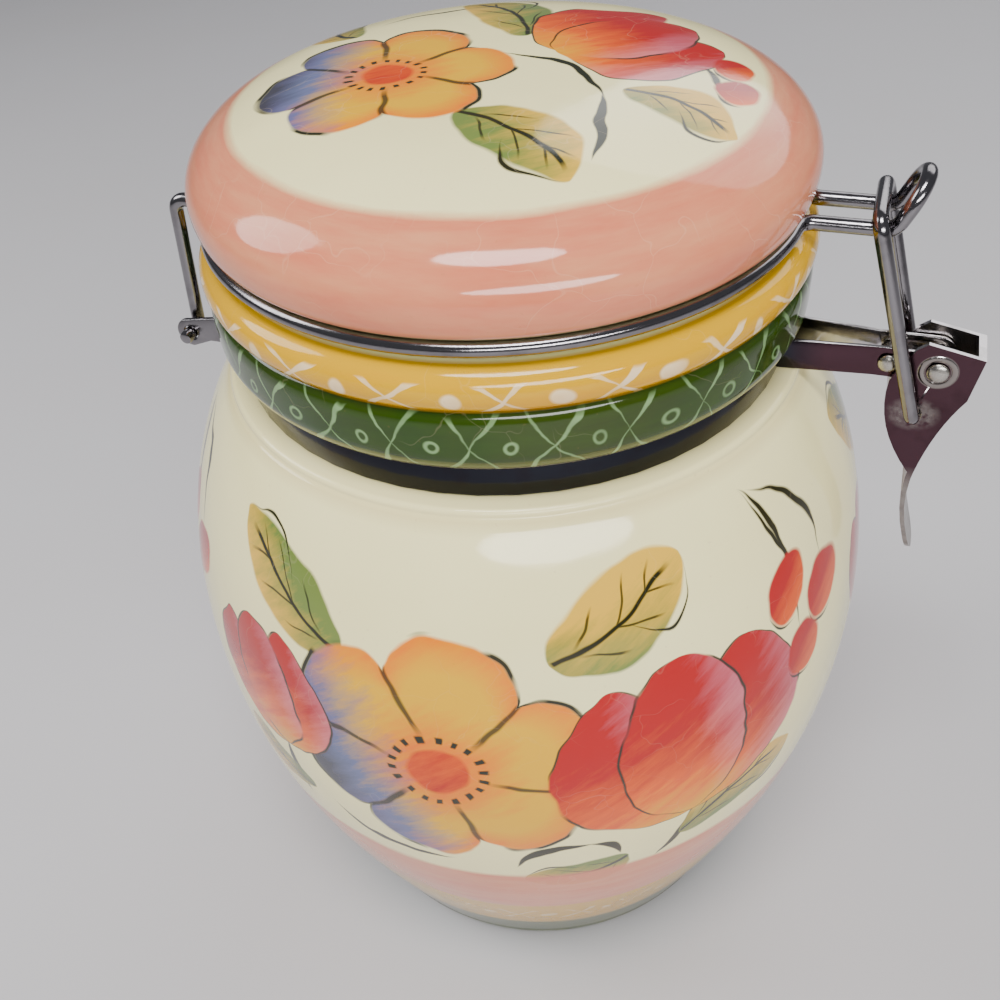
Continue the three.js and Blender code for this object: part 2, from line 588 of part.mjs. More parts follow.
function bail() {
  const footX = PIVOT_REACH + BAIL_HOLE.x;
  const footZ = BAND_MIDDLE + BAIL_HOLE.y;
  const tipY = LEVER_HALF_WIDTH + CLEARANCE;
  const near = [
    corner(footX, -tipY, footZ),
    corner(footX, -BAIL_HALF_WIDTH_FOOT, footZ, BAIL_HALF_WIDTH_FOOT - tipY - BAIL_TIP),
    corner(BAIL_X, -BAIL_HALF_WIDTH_TOP, BAIL_Z, BAIL_BEND),
  ];
  return geometryOf(solidOf(wire(mirrored(near), BAIL_D)));
}

addPiece('jar', jar(), ceramicCream);
addPiece('lid', lid(), ceramicPink);
addPiece('gasket', gasket(), silicone);
addPiece('lid_wire', lidWire(), steel);
addPiece('neck_band', neckBand(), steel);
addPiece('hinge_bracket', hingeBracket(), steel);
addPiece('lever', lever(), steel);
addPiece('pivot_rivet', pivotRivet(), steel);
addPiece('tie_rivet', tieRivet(), steel);
addPiece('bail', bail(), steel);

export default canister;
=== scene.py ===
"""Looks of a glazed ceramic canister with a wire bail latch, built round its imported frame."""
import json
import math

import bmesh
import bpy
from mathutils import Matrix, Vector


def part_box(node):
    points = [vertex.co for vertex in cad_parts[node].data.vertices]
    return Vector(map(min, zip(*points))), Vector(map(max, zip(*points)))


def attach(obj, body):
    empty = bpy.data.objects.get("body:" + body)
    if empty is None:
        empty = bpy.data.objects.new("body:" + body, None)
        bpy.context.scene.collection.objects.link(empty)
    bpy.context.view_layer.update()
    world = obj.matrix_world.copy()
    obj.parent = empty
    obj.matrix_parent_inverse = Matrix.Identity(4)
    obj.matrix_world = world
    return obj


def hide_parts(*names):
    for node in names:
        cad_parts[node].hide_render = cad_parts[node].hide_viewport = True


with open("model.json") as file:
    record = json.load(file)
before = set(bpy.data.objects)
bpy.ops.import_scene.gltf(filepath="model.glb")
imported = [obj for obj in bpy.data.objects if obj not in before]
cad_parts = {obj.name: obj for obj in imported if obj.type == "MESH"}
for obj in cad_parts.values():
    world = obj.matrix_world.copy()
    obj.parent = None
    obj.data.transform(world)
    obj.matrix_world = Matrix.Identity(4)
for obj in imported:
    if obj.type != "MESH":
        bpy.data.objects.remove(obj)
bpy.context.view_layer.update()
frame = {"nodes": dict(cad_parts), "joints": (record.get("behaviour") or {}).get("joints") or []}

bl_info = {
    "name": "Ceramic canister",
    "version": (1, 0, 0),
    "blender": (4, 5, 0),
    "location": "View3D > Sidebar > Canister",
    "description": "Builds the looks of a painted ceramic canister with a hinged lid and a wire bail latch",
    "category": "Add Mesh",
}

MM = 0.001
SAME_POINT = 2e-6  # points nearer than this count as one
CLEARANCE = 0.0003

# Steps along curves and round pieces
TURN_SEGMENTS = 192
FOOT_STEPS = 6
SIDE_STEPS = 40
INNER_SIDE_STEPS = 24
BEAD_STEPS = 8
LOWER_RIDGE_STEPS = 14
RIDGE_STEPS = 10
RIM_STEPS = 12
MOUTH_STEPS = 4
BOSS_STEPS = 6
CEILING_STEPS = 24
CROWN_STEPS = 36
CROWN_TOP_STEPS = 12
GROOVE_STEPS = 16
LID_EDGE_STEPS = 10
SEAL_STEPS = 8
WIRE_SIDES = 20
BEND_STEPS = 10
RING_STEPS = 90
RING_STEPS_IN_BEND = 4
HOOK_STEP_DEGREES = 10
FOLD_SEGMENTS = 5
EDGE_SEGMENTS = 2
PRESSED_SEGMENTS = 48
PRESSED_STEPS = 6
RIVET_SEGMENTS = 40
RIVET_STEPS = 10

# Shares of a height that shape the jar's side and ridges
FOOT_FLARE, FOOT_HANDLE, BELLY_HANDLE_LOW = 0.115, 0.34, 0.37
BELLY_HANDLE_HIGH, SHOULDER_FLARE, SHOULDER_HANDLE = 0.36, 0.21, 0.29
LOWER_RIDGE_BELLY, LOWER_RIDGE_CROWN, UPPER_RIDGE_BELLY = 0.4, 0.75, 0.45

# Angles of the turned outlines in degrees, and how flat the lid's crown is
RIDGE_START = -85
LID_EDGE_START = -75
GROOVE_END = 95
CROWN_FOOT, CROWN_TURN, CROWN_TURN_END, CROWN_TOP = 3, 70, 72, 89
CEILING_EDGE = 48
CROWN_POWER = 0.55

# Sheet and wire
FLAT_WITHIN = math.radians(1.5)
SHARP_DEGREES = 35
SHEET_EDGE = 0.0002
BRACKET_EDGE = 0.00025
FOLD_RADIUS = 0.0011
TIP_EASE = 0.3  # share of a wire's radius by which its ends are eased
BAIL_TIP_STRAIGHT = 0.0001
PRESSED_RADIUS = 0.0032
PRESSED_HALF_WIDTH = 0.0006
PRESSED_HEIGHT = CLEARANCE * 0.7

# Glaze and paint, in millimetres and degrees
GLAZE = {"Coat_Weight": 0.12, "Coat_Roughness": 0.02, "IOR": 1.42}
PANEL_MIDDLE = 70  # degrees from the first panel's middle round to the latch
WANDER = 6.0  # how far drawn edges stray
CRACK_WARP = 14.0  # how far the net of cracks is pulled out of shape
# painted highlight: the next height is how far the pale line painted along the green ridge's lower edge
# reaches
PAINTED_HIGHLIGHT_HEIGHT = 1.8  # height of the pale lower edge of the green ridge
CROWN_PAINT_DROP = 7.5  # the lid is pink from this far below its top
LATCH_FROM = 66  # the neck band's arms start here, along X

JAR_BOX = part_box("jar")
LID_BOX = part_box("lid")
GASKET_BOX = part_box("gasket")
BAND_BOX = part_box("neck_band")
JOINT_AT = {joint["name"]: Vector(joint["pos_m"]) for joint in frame["joints"]}
BAIL_HOLE = JOINT_AT["lever_swing"] + Vector((-0.0028, 0.0, -0.011))

# Camera at the photograph's angle, in the part's frame
CAMERA_AT = Vector((0.07282, -0.19478, 0.30702))
CAMERA_FORWARD = Vector((-0.2825, 0.687, -0.6695))
CAMERA_UP = Vector((-0.1689, 0.6514, 0.7397))
CAMERA_SENSOR = 36
CAMERA_LENS = CAMERA_SENSOR * 1.05
CAMERA_NEAR = 0.01

# Each softbox: name, place, aim, width, height, watts
SOFTBOXES = (
    ("top", (0.1, -0.36, 1.1), (0.0, 0.0, 0.2), 0.56, 0.3, 8.6),
    ("front", (0.5, -0.86, 0.56), (0.0, 0.0, 0.12), 0.95, 0.24, 9.6),
    ("left", (-0.95, -0.2, 0.8), (0.0, 0.0, 0.12), 0.5, 0.7, 6.4),
    ("back", (0.3, 0.95, 0.9), (0.0, 0.0, 0.18), 1.3, 0.8, 6.4),
)
STUDIO_GREY = (0.17, 0.175, 0.19, 1.0)
FLOOR_HALF = 40.0


def length(name, description, default):
    """A size in metres that the sidebar shows in scene units."""
    return bpy.props.FloatProperty(
        name=name, description=description, default=default, min=0.0, precision=4,
        unit="LENGTH", subtype="DISTANCE")


def share(name, description, default):
    """A plain amount from nothing to one."""
    return bpy.props.FloatProperty(
        name=name, description=description, default=default, min=0.0, max=1.0, subtype="FACTOR")


def colour(name, description, red, green, blue):
    """A colour given as it looks on a screen, from 0 to 255 for each part."""
    parts = [c / 255 for c in (red, green, blue)]
    linear = [c / 12.92 if c <= 0.04045 else ((c + 0.055) / 1.055) ** 2.4 for c in parts]
    return bpy.props.FloatVectorProperty(
        name=name, description=description, default=(*linear, 1.0), size=4, min=0.0, max=1.0, subtype="COLOR")


class CanisterSizes(bpy.types.PropertyGroup):
    """Sizes of the visible pieces."""

    foot_radius: length("Foot radius", "Outside of the jar where its side starts", 0.0625)
    foot_round: length("Foot round", "Round of the jar's lower edge", 0.0035)
    belly_radius: length("Belly radius", "Widest outside radius of the jar", JAR_BOX[1].x)
    belly_height: length("Belly height", "Level of the widest place", 0.104)
    shoulder_radius: length("Shoulder radius", "Where the side turns in to the neck", 0.066)
    shoulder_drop: length("Shoulder drop", "From the neck's foot down to the shoulder's turn", 0.0022)
    shoulder_lip_radius: length("Shoulder lip radius", "Bead round the foot of the neck", 0.0652)
    shoulder_lip_round: length("Shoulder lip round", "Round of that bead", 0.0012)
    neck_foot: length("Neck foot", "Level where the neck starts", BAND_BOX[0].z - CLEARANCE)
    neck_top: length("Neck top", "Level where the lower ridge starts", BAND_BOX[1].z + CLEARANCE)
    neck_radius: length("Neck radius", "Floor of the groove that holds the band", 0.0598)
    ridge_groove_radius: length("Ridge groove radius", "Between the two ridges", 0.0629)
    ridge_groove: length("Ridge groove", "Level of the groove between the two ridges", JAR_BOX[1].z - 0.0083)
    upper_ridge_radius: length("Upper ridge radius", "Outside of the yellow ridge", 0.0652)
    lower_ridge_radius: length("Lower ridge radius", "Outside of the green ridge", 0.0648)
    rim_top: length("Rim top", "Level of the jar's mouth", JAR_BOX[1].z)
    rim_flat_radius: length("Rim flat radius", "Outer edge of the flat under the seal", 0.0612)
    mouth_round: length("Mouth round", "Round of the mouth's inner edge", 0.001)
    mouth_radius: length("Mouth radius", "Inside radius of the mouth", 0.0565)
    wall: length("Wall", "Thickness of the jar's side", 0.0055)
    base_thickness: length("Base thickness", "Thickness of the jar's bottom", 0.006)
    lid_radius: length("Lid radius", "Widest outside radius of the lid", LID_BOX[1].x)
    lid_top: length("Lid top", "Level of the lid's crown", LID_BOX[1].z)
    lid_height: length("Lid height", "From the rim's lower edge to the crown", 0.0227)
    lid_bulge: length("Lid bulge", "Widest place above the rim's lower edge", 0.006)
    lid_shell: length("Lid shell", "Thickness of the lid's crown", 0.007)
    boss_radius: length("Boss radius", "Boss under the lid that centres the seal", 0.05)
    boss_bottom: length("Boss bottom", "Level of the boss's lower face", LID_BOX[0].z)
    boss_wall: length("Boss wall", "Thickness of the boss's side", 0.007)
    boss_round: length("Boss round", "Round of the boss's lower edge", 0.002)
    wire_diameter: length("Wire diameter", "Thickness of the lid wire", 0.003)
    ring_radius: length("Ring radius", "Centre line of the lid wire round the lid", 0.0617)
    ring_rise: length("Ring rise", "From the lid's seal face to the wire's centre line", 0.0011)
    hook_reach: length("Hook reach", "From the jar's axis to the bend of the wire's hook", 0.0786)
    hook_length: length("Hook length", "From that bend to the top of the hook", 0.0099)
    hook_lean: bpy.props.FloatProperty(
        name="Hook lean", description="How far the hook leans outwards", default=math.radians(24),
        min=0.0, max=math.pi / 2, subtype="ANGLE")
    hook_half_width: length("Hook half width", "Middle plane to the wire's centre line in the hook", 0.0052)
    leg_half_width: length("Leg half width", "Middle plane to the centre line of a hinge leg", 0.0205)
    leg_reach: length("Leg reach", "From the jar's axis to a hinge leg's upper bend", 0.0676)
    pin_end: length("Pin end", "Middle plane to the end of a hinge pin", 0.027)
    wire_bend: length("Wire bend", "Bend radius of the lid wire", 0.003)
    pin_bend: length("Pin bend", "Bend radius where a hinge pin turns out", 0.0022)
    bail_diameter: length("Bail diameter", "Thickness of the bail wire", 0.003)
    bail_half_width_top: length("Bail half width, top", "Middle plane to a bail leg at the crossbar", 0.009)
    bail_half_width_foot: length("Bail half width, foot", "Middle plane to a bail leg at the lever", 0.0075)
    bail_bend: length("Bail bend", "Bend radius at the bail's crossbar", 0.0026)
    rivet_head: length("Rivet head", "Height of a rivet's head", 0.0009)
    pivot_shank: length("Pivot shank", "Thickness of the pivot rivet", 0.0034)
    tie_shank: length("Tie shank", "Thickness of the tie rivet", 0.0026)
    pink_top: length("Pink top", "Upper edge of the pink band at the foot", 0.074)
    yellow_top: length("Yellow top", "Upper edge of the yellow band at the foot", 0.046)
    green_top: length("Green top", "Upper edge of the green band at the foot", 0.02)
    foot_border: length("Foot border", "Level of the crosses in the yellow band", 0.033)
    crown_radius: length("Crown radius", "Outer edge of the lid's cream crown", 0.0528)


class CanisterColours(bpy.types.PropertyGroup):
    """Glaze, paint and metal colours."""

    cream: colour("Cream", "Ground of the jar and of the lid's crown", 254, 244, 180)
    pink: colour("Pink", "Lid rim and upper band at the foot", 218, 122, 90)
    yellow: colour("Yellow", "Upper ridge and middle band at the foot", 216, 164, 0)
    green: colour("Green", "Lower ridge and lowest band", 40, 70, 4)
    line: colour("Line", "Dark brush lines", 30, 34, 16)
    red: colour("Red", "Tulips and berries", 176, 2, 4)
    orange: colour("Orange", "Foot of the tulips and heart of the blossoms", 240, 98, 0)
    gold: colour("Gold", "Petals of the blossoms", 230, 172, 0)
    blue: colour("Blue", "Shade on the blossoms", 62, 94, 150)
    leaf: colour("Leaf", "Shaded side of the leaves", 92, 118, 44)
    straw: colour("Straw", "Light side of the leaves", 226, 176, 46)
    rose: colour("Rose", "Light touch on red petals", 214, 130, 150)
    border_cream: colour("Border cream", "Crosses on the yellow ridge", 250, 226, 186)
    border_green: colour("Border green", "Crosses on the green ridge", 140, 176, 120)
    # brown tint used in the glaze's mottling, the seal, the floor and the line along the crease under the
    # neck
    brown_tint: colour("Stain", "Tint that gathers in hollows of the glaze", 150, 104, 46)
    seal: colour("Seal", "Rubber seal", 186, 204, 130)
    # partly painted reflection: the plated wire's own grey, darkened to stand in for the dark surroundings it
    # reflects
    chrome_and_painted_reflection: colour("Chrome", "Bright plated wire", 132, 129, 132)
    # painted reflection: the next two colours are the dark maroon painted on the latch pieces' outer sides
    # and the bright reflection painted on their edges, tops and inner faces
    strip: colour("Strip", "Outer sides of the plated sheet", 74, 52, 59)
    bright: colour("Bright", "Cut edges and inner faces of the latch", 190, 186, 187)
    # painted reflection: the plated neck band is painted near black to stand in for the dark surroundings it
    # reflects
    band: colour("Band", "Dark plated strip round the neck", 42, 43, 50)
    tarnish: colour("Tarnish", "Dull patches on the plating", 40, 28, 30)
    steel: colour("Steel", "Dull rivet steel", 176, 172, 164)
    floor: colour("Floor", "Plain floor", 200, 199, 202)
    border_repeats: bpy.props.IntProperty(
        name="Border repeats", description="Crosses round the green ridge", default=28, min=4, max=80)
    border_repeats_upper: bpy.props.IntProperty(
        name="Upper border repeats", description="Crosses round the yellow ridge", default=20, min=4, max=80)
    panels: bpy.props.IntProperty(
        name="Panels", description="Painted panels round the jar", default=3, min=1, max=6)
    streaks: share("Streaks", "How far brush streaks change the paint", 0.4)
    jar_cracks: share("Jar cracks", "Strength of the net of fine cracks in the jar's glaze", 0.06)
    lid_cracks: share("Lid cracks", "Strength of the net of fine cracks in the lid's glaze", 0.1)


def mesh_object(name, bm, material, body, slot, *nodes, sharp=40.0):
    """Turns a bmesh into a smooth piece that rides on a body and stands for CAD nodes."""
    bmesh.ops.recalc_face_normals(bm, faces=bm.faces)
    mesh = bpy.data.meshes.new(name)
    bm.to_mesh(mesh)
    bm.free()
    mesh.shade_smooth()
    mesh.set_sharp_from_angle(angle=math.radians(sharp))
    mesh.materials.append(material)
    piece = bpy.data.objects.new(name, mesh)
    bpy.context.scene.collection.objects.link(piece)
    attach(piece, body)
    if nodes:
        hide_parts(*nodes)
    return piece


def arc(r, z, across, up, start, end, steps):
    """Points of part of an ellipse, angles in degrees from the outer side."""
    angles = [math.radians(start + (end - start) * i / steps) for i in range(steps + 1)]
    return [(r + across * math.cos(a), z + up * math.sin(a)) for a in angles]


def bezier(points, steps):
    """Points of a curve of any degree between its first and last point."""
    out = []
    for i in range(steps + 1):
        t = i / steps
        level = [Vector(p) for p in points]
        while len(level) > 1:
            level = [a.lerp(b, t) for a, b in zip(level, level[1:])]
        out.append(tuple(level[0]))
    return out


def distinct(points):
    """The same points without those that repeat their neighbour."""
    kept = [points[0]]
    for p in points[1:]:
        if (Vector(p) - Vector(kept[-1])).length > SAME_POINT:
            kept.append(p)
    return kept


def turned(profile, segments=TURN_SEGMENTS, closed=False):
    """A profile of radius and height turned round Z; closed joins its last point to its first."""
    bm = bmesh.new()
    angles = [2 * math.pi * i / segments for i in range(segments)]
    rings = []
    for r, z in profile:
        spots = [(r * math.cos(a), r * math.sin(a), z) for a in angles] if r > SAME_POINT else [(0, 0, z)]
        rings.append([bm.verts.new(spot) for spot in spots])
    pairs = list(zip(rings, rings[1:]))
    if closed:
        pairs.append((rings[-1], rings[0]))
    for low, high in pairs:
        for i in range(segments):
            j = (i + 1) % segments
            around = [low[i % len(low)], low[j % len(low)], high[j % len(high)], high[i % len(high)]]
            corners = list(dict.fromkeys(around))
            if len(corners) > 2:
                bm.faces.new(corners)
    return bm


def bent(corners):
    """Centre line of a wire through corners, each a point and the radius of its bend."""
    out = []
    for i, (at, bend) in enumerate(corners):
        if not bend:
            out.append(Vector(at))
            continue
        back = (Vector(corners[i - 1][0]) - Vector(at)).normalized()
        on = (Vector(corners[i + 1][0]) - Vector(at)).normalized()
        turn = math.pi - back.angle(on)
        middle = (back + on).normalized()
        side = (on - back).normalized()
        centre = Vector(at) + middle * (bend / math.cos(turn / 2))
        for k in range(BEND_STEPS + 1):
            a = turn * (k / BEND_STEPS - 0.5)
            out.append(centre - middle * (bend * math.cos(a)) + side * (bend * math.sin(a)))
    return out


def tube(points, diameter, sides=WIRE_SIDES):
    """A round wire along its centre line, with softly rounded ends."""
    bm = bmesh.new()
    last = len(points) - 1
    tangents = []
    for i in range(last + 1):
        before = points[i] - points[max(i - 1, 0)]
        after = points[min(i + 1, last)] - points[i]
        tangents.append((before.normalized() + after.normalized()).normalized())
    normal = tangents[0].orthogonal().normalized()
    rings = []

    def ring(centre, tangent, across, radius):
        """Vertices round one place on the centre line."""
        other = tangent.cross(across)
        angles = [2 * math.pi * k / sides for k in range(sides)]
        return [bm.verts.new(centre + (across * math.cos(a) + other * math.sin(a)) * radius) for a in angles]

    radius = diameter / 2
    edge = radius * TIP_EASE
    easing = ((0.0, edge), (edge * TIP_EASE, edge * TIP_EASE), (edge, 0.0))
    for i, (point, tangent) in enumerate(zip(points, tangents)):
        normal = (normal - tangent * normal.dot(tangent)).normalized()
        if i == 0:
            steps = [(along, radius - cut) for along, cut in easing]
        elif i == last:
            steps = [(-along, radius - cut) for along, cut in reversed(easing)]
        else:
            steps = [(0.0, radius)]
        rings += [ring(point + tangent * along, tangent, normal, size) for along, size in steps]
    for low, high in zip(rings, rings[1:]):
        for k in range(sides):
            bm.faces.new([low[k], low[(k + 1) % sides], high[(k + 1) % sides], high[k]])
    bm.faces.new(rings[0])
    bm.faces.new(rings[-1])
    return bm


def mirrored(corners):
    """Corners of one side of a wire followed by their mirror across the middle plane."""
    return corners + [((x, -y, z), bend) for (x, y, z), bend in reversed(corners)]


def round_edges(bm, test, radius, segments):
    """Rounds the edges between two faces that pass a test."""
    picked = [e for e in bm.edges if len(e.link_faces) == 2 and test(e)]
    bmesh.ops.bevel(
        bm, geom=picked, offset=radius, offset_type="OFFSET", segments=segments, profile=0.5, affect="EDGES",
        clamp_overlap=True)


def is_sharp(edge):
    """Whether an edge is a cut edge of a sheet."""
    return edge.calc_face_angle(0.0) > math.radians(SHARP_DEGREES)


def sheet_metal(node, edge_radius, is_fold=None):
    """A CAD sheet piece with its cut edges eased, and its folds rounded where a test of an edge says so."""
    bm = bmesh.new()
    bm.from_mesh(frame["nodes"][node].data)
    bmesh.ops.remove_doubles(bm, verts=bm.verts, dist=SAME_POINT)
    bmesh.ops.dissolve_limit(bm, angle_limit=FLAT_WITHIN, verts=bm.verts, edges=bm.edges)
    if is_fold:
        round_edges(bm, is_fold, FOLD_RADIUS, FOLD_SEGMENTS)
    round_edges(bm, is_sharp, edge_radius, EDGE_SEGMENTS)
    bmesh.ops.dissolve_degenerate(bm, dist=SAME_POINT, edges=bm.edges)
    bmesh.ops.remove_doubles(bm, verts=bm.verts, dist=SAME_POINT)
    return bm


class Value:
    """A number that varies over a surface; arithmetic on it adds Math nodes."""

    def __init__(self, finish, socket):
        self.finish = finish
        self.socket = socket

    def __add__(self, other):
        return self.finish.math("ADD", self, other)

    def __radd__(self, other):
        return self.finish.math("ADD", other, self)

    def __sub__(self, other):
        return self.finish.math("SUBTRACT", self, other)

    def __rsub__(self, other):
        return self.finish.math("SUBTRACT", other, self)

    def __mul__(self, other):
        return self.finish.math("MULTIPLY", self, other)

    def __rmul__(self, other):
        return self.finish.math("MULTIPLY", other, self)

    def __pow__(self, other):
        return self.finish.math("POWER", self, other)

    def __abs__(self):
        return self.finish.math("ABSOLUTE", self)

    def fraction(self):
        """What is left after the whole number below."""
        return self.finish.math("FRACT", self)

    def root(self):
        """The square root."""
        return self.finish.math("SQRT", self)

    def most(self, other):
        """The larger of two numbers."""
        return self.finish.math("MAXIMUM", self, other)

    def clamped(self):
        """The number held between 0 and 1."""
        return self.finish.math("ADD", self, 0.0, clamp=True)

    def above(self, level, soft):
        """A mask that rises from 0 to 1 round a level, over a width of soft."""
        return self.finish.math("MULTIPLY_ADD", self, 1 / soft, 0.5 - level / soft, clamp=True)

    def below(self, level, soft):
        """A mask that falls from 1 to 0 round a level, over a width of soft."""
        return self.finish.math("MULTIPLY_ADD", self, -1 / soft, 0.5 + level / soft, clamp=True)


class Finish:
    """A procedural material while it is made: nodes joined by expressions."""

    def __init__(self, name, **constants):
        self.material = bpy.data.materials.new(name)
        self.material.use_nodes = True
        self.tree = self.material.node_tree
        self.shader = self.tree.nodes["Principled BSDF"]
        for socket, constant in constants.items():
            self.shader.inputs[socket.replace("_", " ")].default_value = constant

    def node(self, kind, settings, inputs):
        """Adds a node, sets its settings first, then the values or links of its sockets."""
        node = self.tree.nodes.new(kind)
        for key, setting in settings.items():
            setattr(node, key, setting)
        for key, value in inputs.items():
            socket = node.inputs[key] if isinstance(key, int) else self.socket(node.inputs, key)
            self.put(value, socket)
        return node

    @staticmethod
    def socket(sockets, key):
        """The socket of that identifier, or else of that name."""
        return next((s for s in sockets if s.identifier == key), None) or sockets[key]

    def put(self, value, socket):
        """Links a value or sets a constant."""
        if isinstance(value, Value):
            value = value.socket
        if isinstance(value, bpy.types.NodeSocket):
            self.tree.links.new(value, socket)
        else:
            socket.default_value = value

    def math(self, operation, *values, clamp=False):
        """A number worked out by a Math node."""
        node = self.node(
            "ShaderNodeMath", {"operation": operation, "use_clamp": clamp}, dict(enumerate(values)))
        return Value(self, node.outputs[0])

    def mix(self, factor, a, b):
        """A colour between two colours."""
        node = self.node(
            "ShaderNodeMix", {"data_type": "RGBA"}, {"Factor_Float": factor, "A_Color": a, "B_Color": b})
        return self.socket(node.outputs, "Result_Color")

    def vector(self, x, y, z):
        """A vector of three numbers."""
        return self.node("ShaderNodeCombineXYZ", {}, {0: x, 1: y, 2: z}).outputs[0]

    def places(self):
        """Place on the piece in millimetres along X, Y and Z."""
        here = self.node("ShaderNodeTexCoord", {}, {}).outputs["Object"]
        scale = self.node("ShaderNodeVectorMath", {"operation": "SCALE"}, {0: here, "Scale": 1 / MM})
        return scale.outputs[0], self.parts(scale.outputs[0])

    def parts(self, vector):
        """The three numbers of a vector."""
        split = self.node("ShaderNodeSeparateXYZ", {}, {0: vector})
        return [Value(self, s) for s in split.outputs]

    def facing(self):
        """Which way a surface looks, along X, Y and Z of its piece."""
        return self.parts(self.node("ShaderNodeTexCoord", {}, {}).outputs["Normal"])

    def noise(self, vector, scale, detail=2.0, rough=0.5):
        """Cloudy noise about 0.5; scale is waves in a millimetre."""
        node = self.node(
            "ShaderNodeTexNoise", {"noise_dimensions": "3D"},
            {"Vector": vector, "Scale": scale, "Detail": detail, "Roughness": rough})
        return Value(self, node.outputs[0])

    def cells(self, vector, scale):
        """How far a place is from the edge of its cell in an uneven net."""
        node = self.node(
            "ShaderNodeTexVoronoi", {"feature": "DISTANCE_TO_EDGE"}, {"Vector": vector, "Scale": scale})
        return Value(self, node.outputs["Distance"])

    def bump(self, height, strength, distance):
        """Gives the shader a fine relief."""
        node = self.node(
            "ShaderNodeBump", {}, {"Strength": strength, "Distance": distance, "Height": height})
        self.put(node.outputs[0], self.shader.inputs["Normal"])

    def colour(self, value):
        """Sets what colours the surface."""
        self.put(value, self.shader.inputs["Base Color"])

    def rough(self, value):
        """Sets how dull the surface is."""
        self.put(value, self.shader.inputs["Roughness"])


